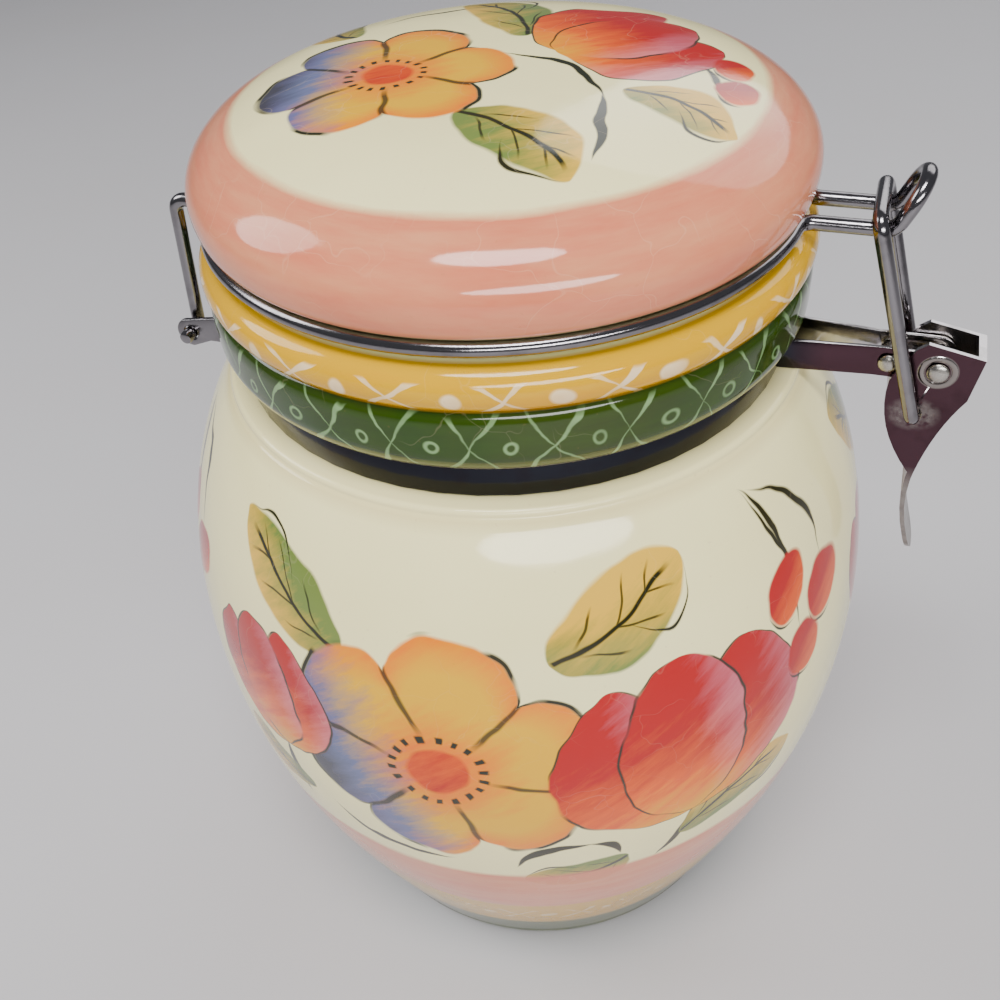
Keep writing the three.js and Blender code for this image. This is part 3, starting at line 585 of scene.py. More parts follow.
class Painting:
    """Brushwork on a finish, in a flat plane of millimetres u across and v up."""

    def __init__(self, finish, u, v, ground, colours, streak):
        self.finish = finish
        self.u = u
        self.v = v
        self.picture = ground
        self.colours = colours
        self.streak = streak
        self.loose = streak - 0.5
        self.breaks = finish.noise(finish.vector(u, v, 0.0), 0.05, 1.0)

    def lay(self, mask, paint):
        """Lays a paint where a mask says."""
        self.picture = self.finish.mix(mask, self.picture, paint)

    def stroke(self, start, end, width, bow=0.0, blunt=1.0, soft=0.4):
        """Mask of a tapered stroke, how far along it a place is, and how far to its side."""
        dx, dy = end[0] - start[0], end[1] - start[1]
        reach = math.hypot(dx, dy)
        c, s = dx / reach, dy / reach
        along = self.u * (c / reach) + (self.v * (s / reach) - (start[0] * c + start[1] * s) / reach)
        across = self.v * c - (self.u * s + (start[1] * c - start[0] * s))
        body = (along * (1 - along)).most(0)
        side = across - body * (4 * bow)
        half = (body * 4) ** blunt * (width / 2) if blunt != 1 else body * (2 * width)
        return (half - abs(side)).above(soft / 2, soft), along, side

    def line(self, start, end, width, bow=0.0):
        """A dark brush line."""
        self.lay(self.stroke(start, end, width, bow)[0], self.colours.line)

    def leaf(self, start, end, width, bow=0.0, warm=0.5):
        """A two-tone leaf with dark veins and a loose line along one edge."""
        mask, along, side = self.stroke(start, end, width, bow, 0.62, 0.9)
        tone = (along * 0.8 + side * (1.1 / width) + self.loose * 1.6 + (warm - 0.4)).clamped()
        self.lay(mask * 0.95, self.finish.mix(tone, self.colours.leaf, self.colours.straw))
        slope = along * 3.6 - abs(side) * (3.0 / width)
        ribs = abs(slope.fraction() - 0.5).below(0.045, 0.035)
        inside = mask * abs(side).below(width * 0.3, 1.6) * along.above(0.2, 0.08) * along.below(0.82, 0.08)
        spine = abs(side).below(0.55, 0.4) * along.above(0.02, 0.02) * along.below(0.88, 0.08)
        self.lay((ribs * inside * 0.9).most(spine), self.colours.line)
        middle = tuple(a * 0.55 + b * 0.45 for a, b in zip(start, end))
        self.line(end, middle, 1.3, width * 0.5 - bow)

    def blossom(self, centre, radius, petals, turn, shade):
        """A round open flower with scalloped petals, shaded to one side."""
        f = self.finish
        dx, dy = self.u - centre[0], self.v - centre[1]
        r = (dx * dx + dy * dy).root()
        a = f.math("ARCTAN2", dy, dx)
        cell = (a * (petals / (2 * math.pi)) + (turn + 4)).fraction() - 0.5
        lobe = (1 - (cell * cell) * 3.4).most(0).root()
        edge = lobe * (0.4 * radius) + 0.6 * radius
        gap = edge - r
        mask = gap.above(0, 0.9)
        heart = (r * (-2.1 / radius) + 1.2 + self.loose * 1.2).clamped()
        petal = f.mix(heart, self.colours.gold, self.colours.orange)
        rind = gap.below(radius * 0.14, radius * 0.2) * (0.62 + self.loose)
        petal = f.mix(rind.clamped(), petal, self.colours.orange)
        lean = (dx * math.cos(shade) + dy * math.sin(shade)) * (1 / radius)
        dusk = (lean * 2.2 - 0.35 + self.loose * 1.7).clamped()
        petal = f.mix(dusk * 0.9, petal, self.colours.blue)
        deep = (lean * 3.4 - 2.1 + self.loose * 1.4).clamped()
        petal = f.mix(deep * 0.8, petal, self.colours.line)
        self.lay(mask, petal)
        seam = (0.5 - abs(cell)) * r * (2 * math.pi / petals)
        part = seam.below(0.6, 0.5) * r.above(radius * 0.36, 4)
        rim = abs(gap + 0.3).below(0.55, 0.5) * self.breaks.above(0.5, 0.06)
        self.lay((part * 0.9 * mask).most(rim), self.colours.line)
        eye = r.below(radius * 0.2, 1.0)
        self.lay(eye, f.mix((self.streak * 1.6 - 0.35).clamped(), self.colours.red, self.colours.orange))
        ray = abs((a * (9 / math.pi) + 9).fraction() - 0.5)
        spots = abs(r - radius * 0.29).below(radius * 0.028, 0.5) * ray.below(0.2, 0.1)
        self.lay(spots, self.colours.line)

    def tulip(self, foot, tip, width):
        """A three-petalled cup, red at the tips and orange at its foot."""
        f = self.finish
        foot, tip = Vector(foot), Vector(tip)
        up = tip - foot
        side = Vector((-up.y, up.x)).normalized()
        spread = side * (width * 0.4) - up * 0.06
        for end, bow in ((tip + spread, 0.2), (tip - spread - up * 0.12, -0.2), (tip, 0.0)):
            mask, along, across = self.stroke(foot, end, width * 0.78, bow * width, 0.55, 0.9)
            warm = (1.35 - along * 2.0 + self.loose * 1.5).clamped()
            paint = f.mix(warm, self.colours.red, self.colours.orange)
            glow = (0.75 - along * 2.6 + self.loose * 1.4).clamped()
            paint = f.mix(glow, paint, self.colours.gold)
            blush = (across * (-2.6 / width) - 0.35 + along * 0.3 + self.loose * 1.2).clamped()
            paint = f.mix(blush * 0.7, paint, self.colours.rose)
            self.lay(mask, paint)
            rim = (mask * (1 - mask) * 4) * self.breaks.above(0.44, 0.08)
            self.lay(rim, self.colours.line)

    def berry(self, at, radius):
        """A small oval berry with a light touch and a dark brow."""
        f = self.finish
        dx, dy = self.u - at[0], self.v - at[1]
        r = (dx * dx + dy * dy * 0.72).root()
        tone = ((dx - dy) * (0.5 / radius) + 0.2 + self.loose * 1.2).clamped()
        self.lay(r.below(radius, 0.8), f.mix(tone, self.colours.red, self.colours.orange))
        x, y = at
        self.line((x - radius, y - radius * 0.4), (x + radius * 0.7, y - radius * 1.1), 1.1, -radius * 0.5)


def hand_drawn(finish, place, u, v):
    """The plane's two numbers moved a little, so that drawn edges aren't ruled."""
    drift = finish.node(
        "ShaderNodeTexNoise", {"noise_dimensions": "3D"}, {"Vector": place, "Scale": 0.06, "Detail": 2.0})
    split = finish.node("ShaderNodeSeparateColor", {}, {0: drift.outputs["Color"]})
    du, dv = (Value(finish, s) for s in split.outputs[:2])
    return u + (du - 0.5) * WANDER, v + (dv - 0.5) * WANDER


def glaze_coat(finish, colours, place, picture, cracks):
    """Gloss, faint cracks and a slow ripple that both glazed pieces share."""
    mottled = finish.noise(place, 0.028, 3.0, 0.6)
    specks = finish.noise(place, 0.9, 1.0, 0.5)
    tint = (mottled - 0.42).clamped() * 0.6 + specks.above(0.76, 0.06) * 0.3
    drift = finish.node("ShaderNodeTexNoise", {}, {"Vector": place, "Scale": 0.09}).outputs["Color"]
    warped = finish.node(
        "ShaderNodeVectorMath", {"operation": "MULTIPLY_ADD"},
        {0: drift, 1: (CRACK_WARP, CRACK_WARP, CRACK_WARP), 2: place}).outputs[0]
    patches = finish.noise(place, 0.05, 1.0).above(0.5, 0.12)
    cracked = finish.cells(warped, 0.08).below(0.007, 0.009) * patches
    picture = finish.mix(cracked * cracks, picture, colours.border_cream)
    finish.colour(finish.mix((tint * 0.3).clamped(), picture, colours.brown_tint))
    finish.rough(mottled * 0.08 + 0.03 + specks * 0.03)
    finish.bump(finish.noise(place, 0.06, 1.0) + specks * 0.02, 0.14, 0.002)


def band_paint(finish, colours, picture, mask, paint, streak):
    """A painted band whose strength varies with the brush."""
    cover = (1 + colours.streaks * 0.35 - streak * colours.streaks).clamped()
    return finish.mix(mask * cover, picture, paint)


def cross_border(finish, place, angle, rise, half, girth, repeats, weight, hollow, spread=0.66):
    """Mask of brushed crosses round a ring, with a spot between each two.

    rise is the millimetres above the row's middle, half is the row's half height, and spread is how wide a
    cross is for its height.
    """
    waver = finish.noise(place, 0.16, 2.0)
    drift = finish.noise(place, 0.07, 1.0) - 0.5
    cell = 2 * math.pi * girth / repeats
    turns = angle * (repeats / (2 * math.pi)) + (4 * repeats + 0.5) + drift * 0.4
    across = (turns.fraction() - 0.5) * cell
    height = rise + (waver - 0.5) * (half * 0.6)
    lean = height * spread
    fat = abs(height) * (weight * 0.11) + waver * (weight * 0.75)
    one = (fat - abs(across - lean)).above(0.15, 0.3)
    other = (fat * 0.7 - abs(across + lean * 1.1)).above(0.15, 0.3)
    cross = one.most(other * 0.9) * abs(height).below(half * 0.86, half * 0.16)
    off = abs(across) - cell / 2
    spot = (off * off + rise * rise).root() + (waver - 0.5) * 0.8
    ring = abs(spot - 1.2).below(0.3, 0.4) if hollow else spot.below(1.7, 0.6)
    return (cross.most(ring) * (waver * 1.3 + 0.25)).clamped()


def paint_jar_panel(art):
    """One panel of the jar, in millimetres from the panel's middle and up from the base."""
    art.line((-54, 90), (-20, 83), 2.2, -6)
    art.line((26, 74), (34, 98), 3.0, -3)
    art.line((-62, 84), (-64, 106), 2.6, 2)
    art.line((44, 168), (58, 148), 1.7, 3)
    art.line((46, 167), (72, 142), 1.6, 6)
    art.line((44, 168), (64, 130), 1.6, 4)
    art.line((-8, 80), (12, 90), 3.2, 4)
    art.line((10, 90), (18, 82), 2.6, 2)
    art.leaf((-40, 144), (-66, 162), 20, 2, 0.3)
    art.leaf((4, 146), (30, 164), 21, -2, 0.7)
    art.leaf((32, 82), (64, 96), 19, 4, 0.6)
    art.leaf((20, 80), (-6, 72), 16, 3, 0.4)
    art.leaf((-60, 90), (-82, 100), 15, 3, 0.5)
    art.blossom((-22, 118), 35, 6, 0.2, 3.5)
    art.tulip((34, 92), (30, 142), 40)
    art.tulip((-64, 104), (-70, 140), 25)
    art.berry((58, 143), 6.4)
    art.berry((73, 137), 6.6)
    art.berry((65, 125), 6.2)


def paint_crown(art):
    """The lid's crown, in millimetres along X and Y."""
    art.line((-2, 6), (26, -14), 2.2, 5)
    art.line((24, -10), (28, -34), 3.0, 1)
    art.line((-34, 22), (-10, 38), 1.6, 3)
    art.line((36, 8), (46, -6), 1.6, 2)
    art.leaf((0, -22), (26, -40), 16, 3, 0.4)
    art.leaf((2, 16), (-20, 42), 17, -3, 0.3)
    art.leaf((-36, 14), (-46, 30), 13, 3, 0.6)
    art.leaf((28, -8), (50, -16), 14, 2, 0.7)
    art.blossom((-20, -8), 25, 6, 0.1, 3.4)
    art.tulip((10, 8), (34, 30), 30)
    art.berry((44, 10), 4.6)
    art.berry((47, 0), 4.2)


def paint_foot(f, colours, sizes, picture, place, angle, z, brush):
    """Pink, yellow and green bands at the jar's foot, with a faint row of crosses in the yellow one."""
    sway = z + (brush - 0.5) * 3
    picture = band_paint(f, colours, picture, sway.below(sizes.pink_top / MM, 2.4), colours.pink, brush)
    picture = band_paint(f, colours, picture, sway.below(sizes.yellow_top / MM, 1.8), colours.yellow, brush)
    rise = z - sizes.foot_border / MM
    crosses = cross_border(f, place, angle, rise, 6.5, 68, colours.border_repeats, 1.0, False)
    picture = f.mix(crosses * 0.6, picture, colours.border_cream)
    return band_paint(f, colours, picture, sway.below(sizes.green_top / MM, 1.6), colours.green, brush)


def paint_ridges(f, colours, sizes, picture, place, angle, z, brush):
    """A darker brownish line along the crease under the neck, the green and the yellow ridge with their
    borders, and a painted highlight under the green ridge.
    """
    groove = sizes.ridge_groove / MM
    neck = sizes.neck_top / MM
    top = sizes.rim_top / MM
    # a darker brownish line along the crease at the shoulder's turn under the neck
    crease = abs(z - (sizes.neck_foot - sizes.shoulder_drop) / MM).below(1.2, 2.4)
    picture = f.mix(crease * 0.22, picture, colours.brown_tint)
    green_on = z.above(neck - 0.5, 0.6)
    deep = f.mix((brush * 1.1 - 0.3).clamped(), colours.green, colours.line)
    picture = f.mix(green_on, picture, deep)
    half = (groove - neck) / 2
    girth = sizes.lower_ridge_radius / MM
    lower = cross_border(f, place, angle, z - (neck + half), half, girth, colours.border_repeats, 0.8, True)
    picture = f.mix(lower * green_on * 0.75, picture, colours.border_green)
    # painted highlight: a pale line along the lower edge of the green ridge
    painted_highlight_edge = green_on * z.below(neck + PAINTED_HIGHLIGHT_HEIGHT, 0.8)
    picture = f.mix(painted_highlight_edge * 0.55, picture, colours.border_cream)
    yellow_on = z.above(groove - 0.1, 0.5)
    glow = (brush * 1.2 - 0.3 - (z - groove) * 0.05).clamped()
    picture = f.mix(yellow_on, picture, f.mix(glow * 0.36, colours.yellow, colours.orange))
    half = (top - groove) * 0.42
    rise = z - (groove + half * 0.86)
    girth = sizes.upper_ridge_radius / MM
    upper = cross_border(f, place, angle, rise, half, girth, colours.border_repeats_upper, 2.1, False, 1.5)
    return f.mix(upper * yellow_on * 0.8, picture, colours.border_cream)


def jar_glaze(colours, sizes):
    """Cream glaze with painted panels, bands at the foot and two bordered ridges."""
    f = Finish("jar_glaze_painted", **GLAZE)
    place, (x, y, z) = f.places()
    radius = (x * x + y * y).root()
    angle = f.math("ARCTAN2", y, x)
    panels = colours.panels
    turns = angle * (panels / (2 * math.pi)) + (0.5 + PANEL_MIDDLE / 360 * panels + 4)
    u = (turns.fraction() - 0.5) * radius * (2 * math.pi / panels)
    brush = f.noise(f.vector(angle * 3, z * 0.22, radius * 0.02), 1.0, 4.0, 0.65)
    streak = f.noise(f.vector(u * 0.05 + z * 0.02, z * 0.22 - u * 0.16, angle), 1.0, 5.0, 0.7)
    wu, wv = hand_drawn(f, place, u, z)
    art = Painting(f, wu, wv, colours.cream, colours, streak)
    paint_jar_panel(art)
    picture = paint_foot(f, colours, sizes, art.picture, place, angle, z, brush)
    picture = paint_ridges(f, colours, sizes, picture, place, angle, z, brush)
    nx, ny, slant = f.facing()
    outward = nx * x + ny * y
    mouth = radius.below(sizes.rim_flat_radius / MM - 0.6, 1.2) * z.above(sizes.neck_top / MM - 20, 1)
    bottom = slant.above(0.6, 0.2) * z.below(sizes.base_thickness / MM + 4, 2)
    inside = mouth.most(bottom).most(outward.below(-10, 4))
    picture = f.mix(inside, picture, colours.cream)
    glaze_coat(f, colours, place, picture, colours.jar_cracks)
    return f.material


def lid_glaze(colours, sizes):
    """Pink rim and a painted cream crown."""
    f = Finish("lid_glaze_painted", **GLAZE)
    place, (x, y, z) = f.places()
    radius = (x * x + y * y).root()
    angle = f.math("ARCTAN2", y, x)
    brush = f.noise(f.vector(angle * 2.2, radius * 0.22, z * 0.12), 1.0, 4.0, 0.65)
    streak = f.noise(f.vector(x * 0.05 + y * 0.02, y * 0.22 - x * 0.16, z * 0.1), 1.0, 5.0, 0.7)
    wu, wv = hand_drawn(f, place, x, y)
    art = Painting(f, wu, wv, colours.cream, colours, streak)
    paint_crown(art)
    edge = radius + (brush - 0.5) * 2.4
    low = z.below(sizes.lid_top / MM - CROWN_PAINT_DROP, 1.2)
    pink_on = edge.above(sizes.crown_radius / MM, 2.0).most(low)
    picture = band_paint(f, colours, art.picture, pink_on, colours.pink, brush)
    nx, ny, slant = f.facing()
    outward = nx * x + ny * y
    ceiling = slant.below(-0.15, 0.1) * radius.below(59, 1)
    boss = z.below((sizes.lid_top - sizes.lid_height) / MM + 0.4, 0.6)
    inside = boss.most(ceiling).most(outward.below(-10, 4))
    picture = f.mix(inside, picture, colours.cream)
    glaze_coat(f, colours, place, picture, colours.lid_cracks)
    return f.material


def plated(colours, name, base, roughness, worn=None, latch=None):
    """Plating with fine handling marks and dull patches; worn tells of rubbed places.

    latch is the colour of the outer sides of what stands out in front, a painted dark reflection; its edges,
    tops and inner faces get a painted bright reflection.
    """
    f = Finish(name, Metallic=1.0)
    place, (x, y, z) = f.places()
    cloudy = f.noise(place, 0.12, 3.0, 0.6)
    drawn = f.node("ShaderNodeMapping", {}, {"Vector": place, "Scale": (0.5, 4.0, 0.5)}).outputs[0]
    hairs = f.noise(drawn, 1.4, 3.0, 0.7)
    if latch:
        # painted reflection: outer sides of the latch pieces take the dark colour, while edges, tops and
        # inner faces take the painted bright one
        slant = f.facing()[1]
        dark_reflection_side = abs(slant).above(0.9, 0.12) * (slant * y).above(1, 1)
        base = f.mix(x.above(LATCH_FROM, 8), base, f.mix(dark_reflection_side, colours.bright, latch))
    tone = f.mix(((cloudy - 0.5) * 2.4).clamped() * 0.75, base, colours.tarnish)
    gloss = cloudy * 0.14 + hairs * 0.08 + roughness
    if worn:
        boss, rubbed = worn(f, place, x, z)
        tone = f.mix(boss * 0.5, tone, colours.steel)
        tone = f.mix(rubbed * 0.6, tone, colours.steel)
        gloss = gloss + rubbed * 0.2
    f.colour(tone)
    f.rough(gloss)
    f.bump(hairs, 0.06, 0.0004)
    return f.material


def lever_wear(f, place, x, z):
    """The pressed ring round the lever's pivot, and where fingers and the bail rub the lever."""
    pivot = JOINT_AT["lever_swing"] / MM
    dx, dz = x - pivot.x, z - pivot.z
    boss = abs((dx * dx + dz * dz).root() - PRESSED_RADIUS / MM).below(0.7, 0.4)
    hx, hz = x - BAIL_HOLE.x / MM, z - BAIL_HOLE.z / MM
    hole = (hx * hx * 0.6 + hz * hz).root().below(3.6, 1.8)
    tab = z.below(pivot.z - 28, 6)
    scuffs = f.noise(place, 0.7, 3.0).above(0.45, 0.3)
    return boss, (hole * scuffs * 0.5).most(tab * (scuffs * 0.3 + 0.7))


def rubber_finish(colours):
    """Soft pale rubber with a fine moulded texture."""
    f = Finish("seal_rubber")
    place, _ = f.places()
    grain = f.noise(place, 1.8, 3.0, 0.6)
    cloudy = f.noise(place, 0.08, 2.0)
    f.colour(f.mix((cloudy * 0.5).clamped(), colours.seal, colours.brown_tint))
    f.rough(grain * 0.2 + 0.48)
    f.bump(grain, 0.12, 0.0004)
    return f.material


def rivet_finish(colours):
    """Dull steel with small dents."""
    f = Finish("rivet_steel_dull", Metallic=1.0)
    place, _ = f.places()
    cloudy = f.noise(place, 0.5, 3.0, 0.6)
    f.rough(cloudy * 0.25 + 0.15)
    f.colour(f.mix(((cloudy - 0.5) * 2).clamped() * 0.6, colours.steel, colours.tarnish))
    f.bump(f.noise(place, 2.5, 2.0), 0.1, 0.0003)
    return f.material


def jar_side(s, inset, bottom, steps):
    """Side of the jar from its foot to the neck; inset moves it inwards."""
    shoulder = s.neck_foot - s.shoulder_drop
    rise = s.belly_height - bottom
    fall = shoulder - s.belly_height
    foot, belly, turn = s.foot_radius - inset, s.belly_radius - inset, s.shoulder_radius - inset
    lower = bezier(
        [(foot, bottom), (foot + FOOT_FLARE * rise, bottom + FOOT_HANDLE * rise),
         (belly, s.belly_height - BELLY_HANDLE_LOW * rise), (belly, s.belly_height)], steps)
    upper = bezier(
        [(belly, s.belly_height), (belly, s.belly_height + BELLY_HANDLE_HIGH * fall),
         (turn + SHOULDER_FLARE * fall, shoulder - SHOULDER_HANDLE * fall), (turn, shoulder)], steps)
    return lower + upper


class CANISTER_OT_jar(bpy.types.Operator):
    """Build the glazed jar"""

    bl_idname = "canister.jar"
    bl_label = "Jar"

    def execute(self, context):
        s = context.scene.canister_sizes
        lower_height = s.ridge_groove - s.neck_top
        lower_belly = s.neck_top + lower_height * LOWER_RIDGE_BELLY
        lower_crown = s.neck_top + lower_height * LOWER_RIDGE_CROWN
        upper_belly = s.ridge_groove + (s.rim_top - s.ridge_groove) * UPPER_RIDGE_BELLY
        shoulder = s.neck_foot - s.shoulder_drop
        bead, bead_middle = s.shoulder_lip_round, s.neck_foot - s.shoulder_lip_round
        neck_inner = s.neck_foot - s.wall
        outside = [
            (0, 0), (s.foot_radius / 2, 0),
            *arc(s.foot_radius - s.foot_round, s.foot_round, s.foot_round, s.foot_round, -90, 0, FOOT_STEPS),
            *jar_side(s, 0, s.foot_round, SIDE_STEPS),
            *bezier([(s.shoulder_radius, shoulder), (s.shoulder_lip_radius, shoulder + bead / 2),
                     (s.shoulder_lip_radius, bead_middle)], BEAD_STEPS),
            *arc(s.shoulder_lip_radius - bead, bead_middle, bead, bead, 0, 90, BEAD_STEPS),
            (s.neck_radius, s.neck_foot), (s.neck_radius, s.neck_top),
            *arc(s.neck_radius, lower_belly, s.lower_ridge_radius - s.neck_radius, lower_belly - s.neck_top,
                 RIDGE_START, 0, LOWER_RIDGE_STEPS),
            *arc(s.ridge_groove_radius, lower_crown, s.lower_ridge_radius - s.ridge_groove_radius,
                 s.ridge_groove - lower_crown, 0, 90, RIDGE_STEPS),
            *arc(s.ridge_groove_radius, upper_belly, s.upper_ridge_radius - s.ridge_groove_radius,
                 upper_belly - s.ridge_groove, -90, 0, RIDGE_STEPS),
            *arc(s.rim_flat_radius, upper_belly, s.upper_ridge_radius - s.rim_flat_radius,
                 s.rim_top - upper_belly, 0, 90, RIM_STEPS),
        ]
        inner_side = jar_side(s, s.wall, s.base_thickness, INNER_SIDE_STEPS)
        inside = [
            *arc(s.mouth_radius + s.mouth_round, s.rim_top - s.mouth_round, s.mouth_round, s.mouth_round,
                 90, 180, MOUTH_STEPS),
            (s.mouth_radius, neck_inner),
            *[p for p in reversed(inner_side) if p[1] < neck_inner - s.wall],
            (0, s.base_thickness),
        ]
        material = jar_glaze(context.scene.canister_colours, s)
        mesh_object("jar_glazed", turned(distinct(outside + inside)), material, "jar", "jar_glaze", "jar")
        return {"FINISHED"}


class CANISTER_OT_lid(bpy.types.Operator):
    """Build the glazed lid"""

    bl_idname = "canister.lid"
    bl_label = "Lid"

    def execute(self, context):
        s = context.scene.canister_sizes
        lid_edge = s.lid_top - s.lid_height
        bulge = lid_edge + s.lid_bulge
        groove_r = s.wire_diameter / 2 + CLEARANCE
        edge_r = s.ring_radius - CLEARANCE
        seal_face = GASKET_BOX[1].z + CLEARANCE
        ring_z = seal_face + s.ring_rise
        groove_start = 180 + math.degrees(math.asin(s.ring_rise / groove_r))

        def shell(thickness, start, end, steps):
            """Points of the crown between two angles; thickness moves it inwards."""
            out = []
            for i in range(steps + 1):
                a = math.radians(start + (end - start) * i / steps)
                r = (s.lid_radius - thickness) * max(math.cos(a), 0.0) ** CROWN_POWER
                out.append((r, bulge + (s.lid_top - thickness - bulge) * math.sin(a)))
            return out

        hollow_r = s.boss_radius - s.boss_wall
        under = shell(s.lid_shell, 90, CEILING_EDGE, CEILING_STEPS)[1:]
        ceiling = [p for p in under if p[0] < hollow_r - CLEARANCE]
        outline = [
            (0, s.lid_top - s.lid_shell), *ceiling,
            (hollow_r, ceiling[-1][1] - s.boss_wall / 2), (hollow_r, s.boss_bottom),
            *arc(s.boss_radius - s.boss_round, s.boss_bottom + s.boss_round, s.boss_round, s.boss_round,
                 -90, 0, BOSS_STEPS),
            (s.boss_radius, seal_face),
            *arc(s.ring_radius, ring_z, groove_r, groove_r, groove_start, GROOVE_END, GROOVE_STEPS),
            (edge_r, lid_edge),
            *arc(edge_r, bulge, s.lid_radius - edge_r, s.lid_bulge, LID_EDGE_START, 0, LID_EDGE_STEPS),
            *shell(0, CROWN_FOOT, CROWN_TURN, CROWN_STEPS),
            *shell(0, CROWN_TURN_END, CROWN_TOP, CROWN_TOP_STEPS), (0, s.lid_top),
        ]
        material = lid_glaze(context.scene.canister_colours, s)
        mesh_object("lid_glazed", turned(distinct(outline)), material, "lid", "lid_glaze", "lid")
        return {"FINISHED"}


class CANISTER_OT_seal(bpy.types.Operator):
    """Build the rubber seal under the lid"""

    bl_idname = "canister.seal"
    bl_label = "Seal"

    def execute(self, context):
        low, high = GASKET_BOX
        half = (high.z - low.z) / 2
        middle = low.z + half
        inner = context.scene.canister_sizes.boss_radius + CLEARANCE
        ring = [
            *arc(high.x - half, middle, half, half, -90, 90, SEAL_STEPS),
            *arc(inner + half, middle, half, half, 90, 270, SEAL_STEPS),
        ]
        material = rubber_finish(context.scene.canister_colours)
        mesh_object(
            "seal_ring", turned(distinct(ring)[:-1], closed=True), material, "lid", "gasket_rubber", "gasket")
        return {"FINISHED"}


def lid_wire_line(s):
    """Centre line of the lid wire: pin, hinge leg, half the ring, hook, and the same mirrored."""
    ring_r, ring_z = s.ring_radius, GASKET_BOX[1].z + CLEARANCE + s.ring_rise
    leg_y, hook_y = s.leg_half_width, s.hook_half_width
    hinge = JOINT_AT["lid_hinge"]
    start = math.atan2(-leg_y, -math.sqrt(ring_r ** 2 - leg_y ** 2))
    end = -math.asin(hook_y / ring_r)
    straight = s.hook_length - hook_y

    def on_hook(y, along, bend):
        """A corner on the hook, so far along it from its bend."""
        x = s.hook_reach + along * math.sin(s.hook_lean)
        return ((x, y, ring_z + along * math.cos(s.hook_lean)), bend)

    near = [
        ((hinge.x, -s.pin_end, hinge.z), 0), ((hinge.x, -leg_y, hinge.z), s.pin_bend),
        ((-s.leg_reach, -leg_y, ring_z), s.wire_bend),
    ]
    for i in range(RING_STEPS + 1):
        if 0 < i < RING_STEPS_IN_BEND or RING_STEPS - RING_STEPS_IN_BEND < i < RING_STEPS:
            continue
        a = start + (end - start) * i / RING_STEPS
        bend = s.wire_bend if i in (0, RING_STEPS) else 0
        near.append(((ring_r * math.cos(a), ring_r * math.sin(a), ring_z), bend))
    near.append(on_hook(-hook_y, 0, s.wire_bend))
    for degrees in range(0, 90, HOOK_STEP_DEGREES):
        a = math.radians(degrees)
        near.append(on_hook(-hook_y * math.cos(a), straight + hook_y * math.sin(a), 0))
    return bent(near + [on_hook(0, s.hook_length, 0)] + mirrored(near)[len(near):])


def bail_line(s):
    """Centre line of the bail, from beside one of the lever's holes over the crossbar to the other."""
    tip_y, foot_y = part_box("lever")[1].y + CLEARANCE, s.bail_half_width_foot
    crossbar = JOINT_AT["bail_swing"]
    near = [
        ((BAIL_HOLE.x, -tip_y, BAIL_HOLE.z), 0),
        ((BAIL_HOLE.x, -foot_y, BAIL_HOLE.z), foot_y - tip_y - BAIL_TIP_STRAIGHT),
        ((crossbar.x, -s.bail_half_width_top, crossbar.z), s.bail_bend),
    ]
    return bent(mirrored(near))


class CANISTER_OT_wires(bpy.types.Operator):
    """Build the lid wire and the bail"""

    bl_idname = "canister.wires"
    bl_label = "Wires"

    def execute(self, context):
        s = context.scene.canister_sizes
        colours = context.scene.canister_colours
        # the wire colour is plated chrome darkened as a painted reflection of dark surroundings
        wire = plated(colours, "wire_plated", colours.chrome_and_painted_reflection, 0.03)
        mesh_object(
            "lid_wire_bent", tube(lid_wire_line(s), s.wire_diameter), wire, "lid", "wire_chrome", "lid_wire")
        mesh_object("bail_bent", tube(bail_line(s), s.bail_diameter), wire, "bail", "wire_chrome", "bail")
        return {"FINISHED"}


class CANISTER_OT_neck_steel(bpy.types.Operator):
    """Build the neck band and the hinge bracket"""

    bl_idname = "canister.neck_steel"
    bl_label = "Neck steel"

    def execute(self, context):
        colours = context.scene.canister_colours
        # the band's near black colour is a painted reflection of dark surroundings
        band = plated(colours, "band_plated", colours.band, 0.05, latch=colours.strip)
        mesh_object(
            "band_strip", sheet_metal("neck_band", SHEET_EDGE), band, "jar", "band_chrome", "neck_band",
            sharp=SHARP_DEGREES)
        bracket = plated(colours, "bracket_plated", colours.chrome_and_painted_reflection, 0.1)
        mesh_object(
            "bracket_sheet", sheet_metal("hinge_bracket", BRACKET_EDGE), bracket, "jar", "bracket_chrome",
            "hinge_bracket", sharp=SHARP_DEGREES)
        return {"FINISHED"}


class CANISTER_OT_lever(bpy.types.Operator):
    """Build the stamped lever"""

    bl_idname = "canister.lever"
    bl_label = "Lever"

    def execute(self, context):
        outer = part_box("lever")[1].y
        side = outer - 1e-5

        def on_fold(edge):
            """Whether an edge is the outer corner between a flange and the web."""
            flat = [f for f in edge.link_faces if abs(f.normal.y) > 0.9]
            web = [f for f in edge.link_faces if f.normal.x > 0.3]
            return len(flat) == 1 and len(web) == 1 and all(abs(v.co.y) > side for v in edge.verts)

        bm = sheet_metal("lever", SHEET_EDGE, on_fold)
        pressed = bpy.data.meshes.new("pressed_ring")
        for facing in (-1, 1):
            section = arc(PRESSED_RADIUS, outer, PRESSED_HALF_WIDTH, PRESSED_HEIGHT, 0, 180, PRESSED_STEPS)
            ring = turned(section, PRESSED_SEGMENTS, closed=True)
            quarter = Matrix.Rotation(-facing * math.pi / 2, 4, "X")
            ring.transform(Matrix.Translation(JOINT_AT["lever_swing"]) @ quarter)
            ring.to_mesh(pressed)
            ring.free()
            bm.from_mesh(pressed)
        bpy.data.meshes.remove(pressed)
        colours = context.scene.canister_colours
        material = plated(colours, "lever_plated", colours.strip, 0.07, lever_wear, colours.strip)
        mesh_object("lever_stamped", bm, material, "lever", "lever_chrome", "lever", sharp=SHARP_DEGREES)
        return {"FINISHED"}


